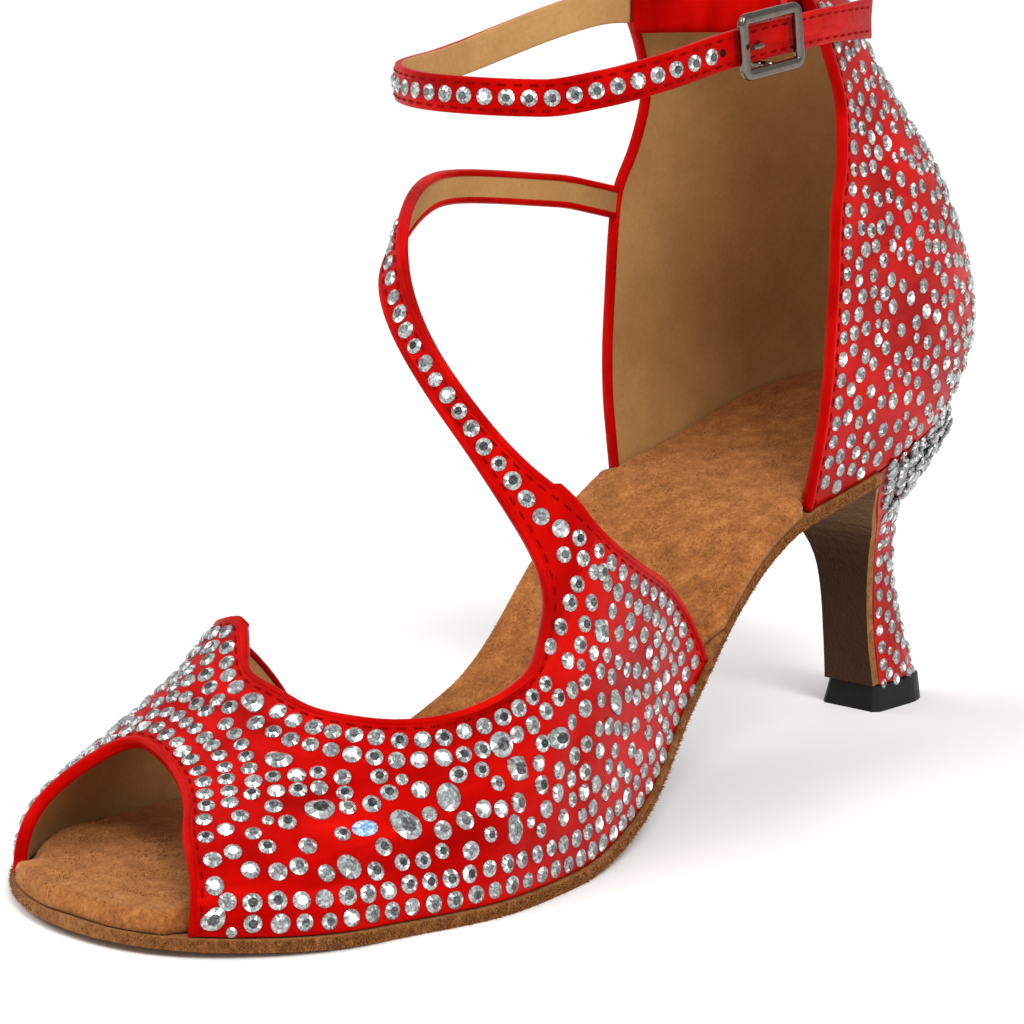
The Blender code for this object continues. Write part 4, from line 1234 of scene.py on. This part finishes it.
# %% Dark nickel plating
nickel = new_look("dark_nickel_plating")
wear = add(
    nickel, "ShaderNodeTexNoise", values={"Scale": 900.0, "Detail": 3.0},
    links={"Vector": add(nickel, "ShaderNodeTexCoord").outputs["Object"]},
)
tarnish = add(
    nickel, "ShaderNodeValToRGB", links={"Fac": wear.outputs["Fac"]},
    stops=[(0.30, "69625B"), (0.70, "766F68")],
)
polish = add(
    nickel, "ShaderNodeMapRange", values={"To Min": 0.10, "To Max": 0.15},
    links={"Value": wear.outputs["Fac"]},
)
shade(nickel, {"Metallic": 1.0},
      {"Base Color": tarnish.outputs["Color"], "Roughness": polish.outputs["Result"]})

# %% [markdown]
# The buckle's points are given by distances along, outward and up from its middle. The frame is a
# rounded section carried round a rounded rectangle. The bar crosses behind the strap, and its
# ends bow out to the frame. The prong that hangs on the bar is the part's own solid.

# %% Frame and bar
spot = ring_point(np.linspace(BUCKLE_AT + 1, BUCKLE_AT - 1, 3))
spot_ways = [way[1] for way in directions(spot)]
FACE = ANKLE_STRAP_THICKNESS / 2 + GAP + 0.0002


def at_buckle(along, out, up):
    """Points at distances along, outward and up from the buckle's middle."""
    along, out, up = np.broadcast_arrays(np.asarray(along, float), out, up)
    point = spot[1] + along[..., None] * spot_ways[0]
    return point + out[..., None] * spot_ways[1] + up[..., None] * spot_ways[2]


def frame_line(length, height, corner, count):
    """A rounded rectangle: four corner arcs, and even steps along the sides between them."""
    pieces = []
    for quarter, (sx, sy) in enumerate(((1, 1), (-1, 1), (-1, -1), (1, -1))):
        turn = np.pi / 2 * quarter + np.linspace(0, np.pi / 2, count)
        x = sx * (length / 2 - corner) + corner * np.cos(turn)
        pieces.append(np.stack([x, sy * (height / 2 - corner) + corner * np.sin(turn)], -1))
    return np.concatenate(pieces)


wire = BUCKLE_WIRE / 2
middle_line = frame_line(
    BUCKLE_LENGTH - 2 * wire, BUCKLE_HEIGHT - 2 * wire, BUCKLE_CORNER - wire * 0.7, 9
)
steps = np.roll(middle_line, -1, axis=0) - np.roll(middle_line, 1, axis=0)
outer_way = unit(np.stack([steps[:, 1], -steps[:, 0]], -1))
frame_path = at_buckle(middle_line[:, 0], FACE + BUCKLE_THICKNESS / 2, middle_line[:, 1])
frame_side = outer_way[:, :1] * spot_ways[0] + outer_way[:, 1:] * spot_ways[2]
frame_out = np.tile(spot_ways[1], (len(frame_path), 1))
buckle = carried("buckle_nickel", frame_path, frame_side, frame_out,
                 rounded(wire, BUCKLE_THICKNESS / 2, 3.2, 20), [nickel], loop=True)
BAR = 0.0006
BOW = 0.0012
bar_depth = ANKLE_STRAP_THICKNESS / 2 + GAP + LOOP_THICKNESS + GAP + BAR
leg = ANKLE_STRAP_WIDTH / 2 + GAP + BAR + 0.0001
turn = np.linspace(0, np.pi / 2, 9)
bow_out = np.append([FACE + BUCKLE_THICKNESS * 0.45], BOW * (1 - np.sin(turn)) - bar_depth)
bow_up = np.append([leg], leg - BOW * (1 - np.cos(turn)))
bar_path = at_buckle(0.0, np.append(bow_out, bow_out[::-1]), np.append(bow_up, -bow_up[::-1]))
bar_along = unit(np.gradient(bar_path, axis=0))
bar_first = np.tile(spot_ways[0], (len(bar_path), 1))
bar = carried("buckle_bar", bar_path, bar_first, np.cross(bar_along, bar_first),
              rounded(BAR, BAR, 2.0, 12), [nickel])
for piece in (buckle, bar):
    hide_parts("buckle_frame")

# %% [markdown]
# The strap has punched holes for the prong. The one before the buckle shows as a small dark dot,
# so it is drawn as one: a thin disc flush with the strap's face, coloured with the painted shade
# that fills the hole.

# %% The punched hole
HOLE_AT = -16.7
HOLE_RADIUS = 0.0007
hole_spot = ring_point(np.linspace(HOLE_AT + 1, HOLE_AT - 1, 3))
hole_along, hole_out, hole_up = [way[1] for way in directions(hole_spot)]
turn = np.linspace(0, 2 * np.pi, 16, endpoint=False)[:, None]
disc = hole_spot[1] + HOLE_RADIUS * (np.cos(turn) * hole_along + np.sin(turn) * hole_up)
front_disc = disc + hole_out * (ANKLE_STRAP_THICKNESS / 2 + 0.00004)
back_disc = disc + hole_out * (ANKLE_STRAP_THICKNESS / 2 - 0.0002)
hole_faces = [list(range(16)), list(range(31, 15, -1))]
hole_faces += [[i, 16 + i, 16 + (i + 1) % 16, (i + 1) % 16] for i in range(16)]
# Painted shade: the disc's dark colour stands for the shade inside the hole.
painted_hole_shade = brushed(
    "painted_shade_of_a_punched_hole", [(0.3, "1C0604"), (0.7, "340A06")],
    patch=0.001, grain=0.0004, fuzz=0.0,
)
hole = make_piece("punched_hole", np.concatenate([front_disc, back_disc]), hole_faces, [painted_hole_shade])
face_outward(hole)

# %% [markdown]
# A flat-back crystal is cut glass with a mirror foil behind it. Its flat top, or table, looks
# down to the foil and is mostly dark, and the kites and triangles round it throw light back, one
# bright and its neighbour grey. Glass over foil is costly to trace, so every facet gets its own
# tone here: painted reflections, dark in the table and light round it, with painted glints. A
# clear hard gloss over that answers the lamps as the real stones do. One large stone also has a
# painted blue fire, a flash of split light drawn into its colour.

# %% Flat-back crystals: glass over mirror foil
def cut_glass(name, tones):
    """A facet's own value mixed with finer cells inside it, read as a painted reflection tone, under a
    hard gloss.
    """
    look = new_look(name)
    tone = add(look, "ShaderNodeAttribute", settings={"attribute_name": "facet"})
    cells = add(
        look, "ShaderNodeTexVoronoi", values={"Scale": 4.5, "Randomness": 1.0},
        links={"Vector": add(look, "ShaderNodeTexCoord").outputs["UV"]},
    )
    cell_tone = add(look, "ShaderNodeSeparateColor", links={"Color": cells.outputs["Color"]})
    mixed = add(
        look, "ShaderNodeMix", settings={"data_type": "FLOAT"}, values={"Factor": 0.36},
        links={"A": tone.outputs["Fac"], "B": cell_tone.outputs["Red"]},
    )
    # This ramp gives the facets their painted reflections and glints, not a colour of the glass.
    foil = add(look, "ShaderNodeValToRGB", links={"Fac": mixed.outputs["Result"]}, stops=tones)
    return shade(
        look,
        {"Metallic": 0.35, "Roughness": 0.10, "IOR": 1.56,
         "Coat Weight": 0.6, "Coat Roughness": 0.03},
        {"Base Color": foil.outputs["Color"]},
    )


crystal = cut_glass("cut_glass_over_mirror_foil", [
    (0.06, "1E2022"), (0.26, "545758"), (0.48, "868A8A"), (0.72, "BBBFBF"), (0.92, "FFFFFF"),
])
# The blue stone's colour is a painted blue fire: split light drawn into its facet tones.
crystal_with_painted_blue_fire = cut_glass("cut_glass_with_painted_blue_fire", [
    (0.06, "30506E"), (0.26, "5C8FC0"), (0.48, "8FC0EA"), (0.72, "CFE6FA"), (0.92, "FFFFFF"),
])

ring16 = np.linspace(0, 2 * np.pi, 16, endpoint=False)
ring8 = ring16[::2]
CROWN = 0.42
GIRDLE = 0.12
TABLE = 0.54
round_stone = np.concatenate([
    np.stack([np.cos(ring16), np.sin(ring16), np.full(16, -GIRDLE)], -1),
    np.stack([np.cos(ring16), np.sin(ring16), np.full(16, GIRDLE)], -1),
    np.stack([np.cos(ring8) * TABLE, np.sin(ring8) * TABLE, np.full(8, CROWN)], -1),
])
stone_cells = [[i, (i + 1) % 16, 16 + (i + 1) % 16, 16 + i] for i in range(16)]
stone_cells += [[32 + i, 16 + (2 * i - 1) % 16, 16 + 2 * i, 16 + 2 * i + 1] for i in range(8)]
stone_cells += [[32 + i, 16 + 2 * i + 1, 32 + (i + 1) % 8] for i in range(8)]
stone_cells += [list(range(32, 40)), list(range(15, -1, -1))]
STONE_KINDS = {
    "round": np.ones(16),
    "drop": 1 + 0.45 * np.clip(np.cos(ring16), 0, 1) ** 3,
    "kite": 1.12 / (np.abs(np.cos(ring16)) ** 1.3 + np.abs(np.sin(ring16)) ** 1.3) ** (1 / 1.3),
    "lump": 1 + 0.10 * np.cos(2 * ring16) + 0.07 * np.sin(3 * ring16),
    "blue": 1 + 0.12 * np.cos(2 * ring16),
}


def stone_outline(kind):
    """The round stone with each ring's radius times the kind's own curve of the angle."""
    reach = STONE_KINDS[kind]
    form = round_stone.copy()
    form[:, :2] *= np.concatenate([reach, reach, reach[::2]])[:, None]
    return form


# %% [markdown]
# The stones are set one by one. The few large ones come first, from a short table. Then rows follow
# every edge, a stone's breadth inside it, and chains run side by side over the toe.

# %% Large stones, and stones in rows
stones = {"place": [], "up": [], "size": [], "stretch": [], "kind": [], "lift": []}


def set_stones(places, up, size, stretch=1.0, kind="round", lift=0.0):
    """Notes stones at places on the cloth, of a diameter in metres."""
    count = len(places)
    stones["place"].append(places)
    stones["up"].append(up)
    stones["size"].append(np.broadcast_to(size, count))
    stones["stretch"].append(np.broadcast_to(stretch, count))
    stones["kind"] += [kind] * count
    stones["lift"].append(np.broadcast_to(lift, count))


def set_so_far():
    """The places of all stones up to now, and half of their longer diameters."""
    return (np.concatenate(stones["place"]),
            np.concatenate(stones["size"]) * np.concatenate(stones["stretch"]) / 2)


def row(line, form, spacing, size, spread=0.05):
    """A row: even steps along a line on the cloth, each stone a few hundredths off its size."""
    spots = evenly(line, spacing)
    places, up = lay_on(form, spots + rng.normal(0, 0.00012, spots.shape))
    rim_points = np.concatenate([rim["line"] for rim in rims.values()])
    off_rim = np.linalg.norm(places - rim_points[nearest_of(places, rim_points)], axis=1)
    keep = off_rim > size / 2 + 0.0006
    sole_points = np.concatenate([sole_edge["line"], inner_sole_edge["line"]])
    off_sole = np.linalg.norm(places - sole_points[nearest_of(places, sole_points)], axis=1)
    keep &= off_sole > 0.55 * size
    others, radii = set_so_far()
    apart = np.linalg.norm(places[:, None] - others[None], axis=-1)
    keep &= (apart > 0.97 * (radii + size / 2)).all(axis=1)
    places, up = places[keep], up[keep]
    sizes = size * (1 + rng.normal(0, spread, len(places)))
    set_stones(places, up, sizes, 1 + np.abs(rng.normal(0, 0.04, len(places))))


def piece_of(line, start, end):
    """The part of a line between two shares of its number of points."""
    return line[int(len(line) * start):int(len(line) * end)]


# Each large stone: its shares across and down the vamp, its width in metres, its length in widths
# and its form.
STONE = 0.0028
LARGE_STONES = [
    (0.085, 0.022, 0.0034, 1.12, "lump"),
    (0.525, 0.425, 0.0043, 1.05, "lump"),
    (0.642, 0.533, 0.0036, 1.15, "lump"),
    (0.721, 0.800, 0.0038, 1.20, "lump"),
    (0.188, 0.642, 0.0040, 1.10, "kite"),
    (0.300, 0.467, 0.0042, 1.10, "drop"),
    (0.425, 0.442, 0.0030, 1.30, "blue"),
    (0.167, 0.880, 0.0038, 1.20, "kite"),
    (0.304, 0.575, 0.0040, 1.15, "round"),
    (0.154, 0.717, 0.0036, 1.25, "drop"),
    (0.287, 0.717, 0.0042, 1.00, "round"),
    (0.110, 0.520, 0.0036, 1.20, "lump"),
    (0.240, 0.280, 0.0038, 1.10, "round"),
    (0.100, 0.800, 0.0034, 1.20, "drop"),
]
for across_share, down_share, wide, long, kind in LARGE_STONES:
    placed, facing = lay_on(vamp_form, vamp(across_share, down_share)[None])
    set_stones(placed, facing, wide, long, kind)
sole_edge = edge_of(vamp_form, np.s_[:, 0], np.s_[:, 2])
inner_sole_edge = edge_of(vamp_form, np.s_[:, -1], np.s_[:, -3])
ROW_INSET = 0.0034
CHAINS = 6
CHAIN_STEP = 0.0040
for inset in (ROW_INSET, 0.0070):
    row(inset_line(wing, vamp_form, inset), vamp_form, 0.0037, STONE)
for inset in (ROW_INSET, 0.0069):
    row(inset_line(throat, vamp_form, inset), vamp_form, 0.0035, STONE)
toe_row = measured(vamp_form, ROW_INSET)
row(piece_of(toe_row, 0.03, 0.58), vamp_form, 0.0039, STONE)
row(piece_of(toe_row, 0.58, 0.985), vamp_form, 0.0031, STONE)
for step in range(1, CHAINS + 1):
    above_toe = measured(vamp_form, ROW_INSET + CHAIN_STEP * step, spare=0.006)
    row(piece_of(above_toe, 0.60, 0.985), vamp_form, 0.0029, STONE * 0.96)
for inset, pitch in ((0.0020, 0.0038), (0.0056, 0.0037)):
    row(inset_line(sole_edge, vamp_form, inset), vamp_form, pitch, STONE)
    row(inset_line(inner_sole_edge, vamp_form, inset), vamp_form, pitch, STONE)
row(strap_form["points"][14:, NECK_COLUMNS // 2], strap_form, 0.0037, STONE)
for edge in (back_outer, back_inner):
    row(inset_line(edge, wall_form, ROW_INSET)[3:], wall_form, 0.0038, STONE * 0.96)
stone_part = (run > 0.0483) & (run < 0.235)
ring_part = ankle_line[stone_part] + ankle_out[stone_part] * ANKLE_STRAP_THICKNESS / 2
strap_places = evenly(ring_part, 0.0037)
strap_near = np.argmin(((strap_places[:, None] - ankle_line[None]) ** 2).sum(-1), axis=1)
set_stones(strap_places, ankle_out[strap_near], STONE)
print("stones in rows:", len(stones["kind"]))

# %% [markdown]
# The free ground between the rows is filled by a throw of darts. One after the other falls on the
# satin, and it stays where its stone keeps a small gap to all the others.

# %% Stones thrown on the free ground
def throw(form, tries, size, gap, keep_off, room=None, lift=0.0, tip=0.0):
    """Darts on the grid's points, by area: one stays if it clears the others and all edges.

    A lifted stone may lie over the stones below it, so it has to clear its own layer only.
    """
    points = form["points"].reshape(-1, 3)
    ups = form["normals"].reshape(-1, 3)
    cell = np.linalg.norm(np.cross(*np.gradient(form["points"], axis=(0, 1))), axis=-1).ravel()
    if room is not None:
        cell = cell * room.ravel()
    picks = rng.choice(len(points), tries, p=cell / cell.sum())
    edges = np.concatenate([edge["line"][::2] for edge, _ in keep_off])
    clear = np.concatenate([np.full(len(edge["line"][::2]), least) for edge, least in keep_off])
    taken, radii = set_so_far()
    if lift > 0:
        taken, radii = taken[:1] + 1.0, radii[:1]
    kept = []
    kept_sizes = []
    for pick in picks:
        spot_here = points[pick]
        wide = size * (1 + rng.normal(0, 0.06))
        if (np.linalg.norm(edges - spot_here, axis=1) < clear + wide / 2).any():
            continue
        if (np.linalg.norm(taken - spot_here, axis=1) < radii + wide / 2 + gap).any():
            continue
        taken = np.concatenate([taken, spot_here[None]])
        radii = np.append(radii, wide / 2)
        kept.append(pick)
        kept_sizes.append(wide)
    chosen = np.array(kept, int)
    stretch = 1 + np.abs(rng.normal(0, 0.05, len(chosen)))
    facing = unit(ups[chosen] + rng.normal(0, tip, (len(chosen), 3)))
    set_stones(points[chosen], facing, np.array(kept_sizes), stretch, lift=lift)
    return len(kept)


vamp_edges = [(wing, 0.0022), (throat, 0.0022), (peep, 0.0018)]
vamp_edges += [(sole_edge, 0.0002), (inner_sole_edge, 0.0002)]
wall_foot = edge_of(wall_form, np.s_[0, :], np.s_[2, :])
wall_top = edge_of(wall_form, np.s_[-1, :], np.s_[-3, :])
wall_edges = [(back_outer, 0.0022), (back_inner, 0.0022), (wall_foot, 0.0004), (wall_top, 0.0010)]
strap_edges = [(rims["rear"], 0.0020), (rims["front"], 0.0020)]
# Only the strap's first rows, at its broad neck, have room for stones beside the middle row.
NECK_ROWS = 22
neck_room = np.zeros(strap_form["points"].shape[:2])
neck_room[:NECK_ROWS] = 1
print("neck:", throw(strap_form, 2500, STONE, 0.0004, strap_edges, room=neck_room))
print("vamp:", throw(vamp_form, 14000, STONE, 0.00050, vamp_edges))
print("small on the vamp:", throw(vamp_form, 1500, 0.0019, 0.00045, vamp_edges))
print("counter:", throw(wall_form, 12000, 0.0027, 0.00050, wall_edges))
print("small on the counter:", throw(wall_form, 1500, 0.0019, 0.0004, wall_edges))
breast_outer = edge_of(heel_form, np.s_[:, 0], np.s_[:, 2])
breast_inner = edge_of(heel_form, np.s_[:, -1], np.s_[:, -3])
for edge in (breast_outer, breast_inner):
    row(inset_line(edge, heel_form, 0.0022)[2:44], heel_form, 0.0035, 0.0025)
heel_edges = [(breast_outer, 0.0006), (breast_inner, 0.0006)]
print("heel:", throw(heel_form, 4000, 0.0026, 0.0004, heel_edges))
print("small on the heel:", throw(heel_form, 1500, 0.0018, 0.0003, heel_edges))

# %% [markdown]
# Where the heel joins the counter the stones are heaped on one another in a band, several deep.
# Each layer is a throw of its own, lifted higher than the one before, tipped a little and kept to a
# narrower band, so the heap is thick in its middle and runs out toward the breast.

# %% The heaped band at the back
heel_share = np.linspace(0, 1, heel_form["points"].shape[0])[:, None]
heel_turn = np.linspace(0, 1, heel_form["points"].shape[1])[None]
# Each layer: the share of the heel's height where it begins, and how high it is lifted, in metres.
HEAP_LAYERS = [(0.72, 0.0005), (0.76, 0.0014), (0.80, 0.0022)]
for layer, (low_share, lift) in enumerate(HEAP_LAYERS):
    band = (heel_share > low_share) & (heel_share < 0.98 - 0.01 * layer)
    band = band & (np.abs(heel_turn - 0.5) < 0.49 - 0.03 * layer)
    count = throw(heel_form, 2500, 0.0027, 0.0001, heel_edges, band * 1.0, lift, 0.14)
    print("heap, layer", layer, ":", count)

# %% [markdown]
# Now each kind of stone becomes one mesh. Every stone is turned at random about its own axis and
# tipped a little, and every facet draws its own tone, a painted reflection. A tenth of the facets get
# a painted glint, almost white.

# %% All stones as meshes
place = np.concatenate(stones["place"])
up = unit(np.concatenate(stones["up"]) + rng.normal(0, 0.03, place.shape))
size = np.concatenate(stones["size"])
stretch = np.concatenate(stones["stretch"])
lift = np.concatenate(stones["lift"])
kinds = np.array(stones["kind"])
loose = rng.normal(0, 1, place.shape)
along = unit(loose - up * np.sum(loose * up, -1, keepdims=True))
cell_kind = np.array([0] * 16 + [1] * 8 + [2] * 8 + [3, 4])
for kind in STONE_KINDS:
    chosen = kinds == kind
    count = int(chosen.sum())
    if not count:
        continue
    drawn = rng.uniform(0, 1, (count, len(stone_cells)))
    # Painted reflections: walls, kites and triangles are lighter, and the table is mostly dark.
    tones = np.select(
        [cell_kind == 0, cell_kind == 1, cell_kind == 2, cell_kind == 3],
        [0.30 + 0.2 * drawn, 0.38 + 0.36 * drawn, 0.46 + 0.40 * drawn, -0.12 + 0.75 * drawn**2], 0.2,
    )
    # Painted glints: a tenth of the facets are set past white.
    tones = np.where(drawn > 0.90, 1.35, tones)
    half = size[chosen] / 2
    sizes = np.stack([half * stretch[chosen], half, half], -1)
    copies(
        "crystals_" + kind, stone_outline(kind), stone_cells,
        place[chosen] + up[chosen] * lift[chosen][:, None], along[chosen],
        np.cross(up[chosen], along[chosen]), up[chosen], sizes,
        [crystal_with_painted_blue_fire if kind == "blue" else crystal], tones.ravel(), flat=True,
    )
print("stones in all:", len(kinds))

# %% [markdown]
# Brushed suede has a raised nap. Its colour and bump make most of it, but its outline would stay
# as clean as plastic, so short fibres stand on the insole and along the outsole's edge. Each is a
# three-sided spike under a millimetre long, leaning with the brush.

# %% Fibres of the nap
nap = new_look("suede_nap_fibres")
nap_tone = add(nap, "ShaderNodeAttribute", settings={"attribute_name": "facet"})
nap_colour = add(
    nap, "ShaderNodeValToRGB", links={"Fac": nap_tone.outputs["Fac"]},
    stops=[(0.0, "5A3014"), (0.5, "94582A"), (1.0, "BE844C")],
)
shade(nap, {"Roughness": 0.95, "Specular IOR Level": 0.15}, {"Base Color": nap_colour.outputs["Color"]})
spike_turn = np.linspace(0, 2 * np.pi, 3, endpoint=False)
spike_foot = np.stack([np.cos(spike_turn), np.sin(spike_turn), np.zeros(3)], -1)
spike = np.concatenate([spike_foot, [[0, 0, 1.0]]])
spike_cells = [[0, 1, 3], [1, 2, 3], [2, 0, 3], [2, 1, 0]]
FIBRE_RADIUS = 0.00008
EDGE_FIBRES = 9000
INSOLE_FIBRES = 15000


def fibres(name, places, up, lean, length):
    """A spike at each place, its axis the normal plus a lean and a random part."""
    axis = unit(up + lean + rng.normal(0, 0.35, places.shape))
    loose_way = rng.normal(0, 1, places.shape)
    first = unit(loose_way - axis * np.sum(loose_way * axis, -1, keepdims=True))
    long = length * rng.uniform(0.5, 1.2, len(places))
    thin = np.full(len(places), FIBRE_RADIUS)
    sizes = np.stack([thin, thin, long], -1)
    tones = np.repeat(np.clip(rng.normal(0.5, 0.25, len(places)), 0, 1), len(spike_cells))
    side = np.cross(axis, first)
    return copies(name, spike, spike_cells, places, first, side, axis, sizes, [nap], tones)


def edge_spots(count, height):
    """Random places on the sole's outer edge, in front of the heel, at random heights of the edge."""
    share = rng.uniform(BREAST + 0.01, 0.9998, count)
    outer, inner = plan(share)
    pick = rng.uniform(0, 1, count) < 0.6
    step = 0.0008
    ahead, behind = plan(np.clip(share + step, 0, 1)), plan(np.clip(share - step, 0, 1))
    near = np.stack(ahead) - np.stack(behind)
    slope = np.where(pick, near[0], near[1]) / (2 * step * LENGTH)
    x = np.where(pick, outer, inner)
    places = np.stack([x, y_of(share), underside(share) + height * rng.uniform(0.05, 1, count)], -1)
    sign = np.where(pick, 1.0, -1.0)
    return places, unit(np.stack([sign, sign * slope, np.zeros(count)], -1))


edge_places, edge_out = edge_spots(EDGE_FIBRES, OUTSOLE)
fibres("outsole_nap", edge_places, edge_out, np.array([0, 0, 0.1]), 0.00060)
# Under the closed part of the vamp nobody sees the insole, so no fibres are put there.
shown = (insole_share < 0.62) | (insole_share > 0.84)
cell = np.linalg.norm(np.cross(*np.gradient(insole_form["points"], axis=(0, 1))), axis=-1)
cell = (cell * shown[:, None]).ravel()
picks = rng.choice(cell.size, INSOLE_FIBRES, p=cell / cell.sum())
scatter = rng.normal(0, 0.0006, (INSOLE_FIBRES, 3))
nap_places = insole_form["points"].reshape(-1, 3)[picks] + scatter
nap_places, nap_up = lay_on(insole_form, nap_places)
fibres("insole_nap", nap_places - nap_up * 0.0001, nap_up, np.array([0.3, 0.6, 0.0]), 0.00055)

# %% [markdown]
# Outsole, heel, tip, buckle strap and prong are drawn as the part's own solids. They only take
# their materials here.

# %% Materials of the carried-over nodes
rubber = new_look("black_moulded_rubber")
pores = add(
    rubber, "ShaderNodeTexNoise", values={"Scale": 1400.0, "Detail": 2.0},
    links={"Vector": add(rubber, "ShaderNodeTexCoord").outputs["Object"]},
)
rubber_tone = add(
    rubber, "ShaderNodeValToRGB", links={"Fac": pores.outputs["Fac"]},
    stops=[(0.35, "050606"), (0.7, "0E0F0F")],
)
rubber_relief = add(
    rubber, "ShaderNodeBump", values={"Strength": 0.3, "Distance": 0.0001},
    links={"Height": pores.outputs["Fac"]},
)
shade(rubber, {"Roughness": 0.5, "IOR": 1.5, "Specular IOR Level": 0.25},
      {"Base Color": rubber_tone.outputs["Color"], "Normal": rubber_relief.outputs["Normal"]})
LOOK_OF = {
    "outsole": sole_suede, "heel": satin_over_heel, "buckle_strap": satin_over_heel,
    "buckle_prong": nickel, "heel_tip": rubber,
}
for node, look in LOOK_OF.items():
    for holder in nodes[node].material_slots:
        holder.material = look

# %% [markdown]
# A pale floor and soft light, as in a small product studio. A wide strong sun shines over the
# camera's right shoulder and a weak one from the left. Two small lamps in front add highlights,
# and a white sky fills the shadows.

# %% Floor and light
def floor_plane(half):
    """A square of four points on the ground."""
    corners = np.array([(-1, -1, 0), (1, -1, 0), (1, 1, 0), (-1, 1, 0)]) * half
    mesh = bpy.data.meshes.new("floor")
    mesh.from_pydata(corners.tolist(), [], [(0, 1, 2, 3)])
    made = bpy.data.objects.new("floor", mesh)
    scene.collection.objects.link(made)
    return made


paper = new_look("matt_white_paper")
mottle = add(paper, "ShaderNodeTexNoise", values={"Scale": 4.0},
             links={"Vector": add(paper, "ShaderNodeTexCoord").outputs["Object"]})
white = add(paper, "ShaderNodeValToRGB", links={"Fac": mottle.outputs["Fac"]},
            stops=[(0.3, "F7F6F4"), (0.7, "FBFBFA")])
shade(paper, {"Roughness": 0.9, "Specular IOR Level": 0.1}, {"Base Color": white.outputs["Color"]})
floor = floor_plane(12.0)
floor.data.materials.append(paper)


def lamp(name, place, aim, width, watts):
    """A square area lamp that looks from its place at its aim."""
    light = bpy.data.lights.new(name, "AREA")
    light.size = width
    light.energy = watts
    made = bpy.data.objects.new(name, light)
    made.location = place
    made.rotation_euler = (Vector(aim) - Vector(place)).to_track_quat("-Z", "Y").to_euler()
    scene.collection.objects.link(made)


lamp("key", (-0.2, -1.1, 1.1), (0, 0, 0.05), 0.5, 5)
lamp("side", (1.3, -0.1, 0.7), (0, 0, 0.05), 0.5, 4)
# Each sun: its name, the side it shines from, its strength and its width in degrees.
SUNS = [("left", (-0.8, -0.7, 1.2), 0.7, 35), ("right", (1.1, -0.6, 1.4), 1.7, 22)]
for name, place, strength, spread in SUNS:
    light = bpy.data.lights.new("daylight_" + name, "SUN")
    light.energy = strength
    light.angle = math.radians(spread)
    made = bpy.data.objects.new("daylight_" + name, light)
    made.rotation_euler = (-Vector(place)).to_track_quat("-Z", "Y").to_euler()
    scene.collection.objects.link(made)
world = bpy.data.worlds.new("studio")
world.use_nodes = True
world.node_tree.nodes["Background"].inputs["Color"].default_value = linear("FFFFFF")
world.node_tree.nodes["Background"].inputs["Strength"].default_value = 0.55
scene.world = world
scene.view_settings.view_transform = "Standard"
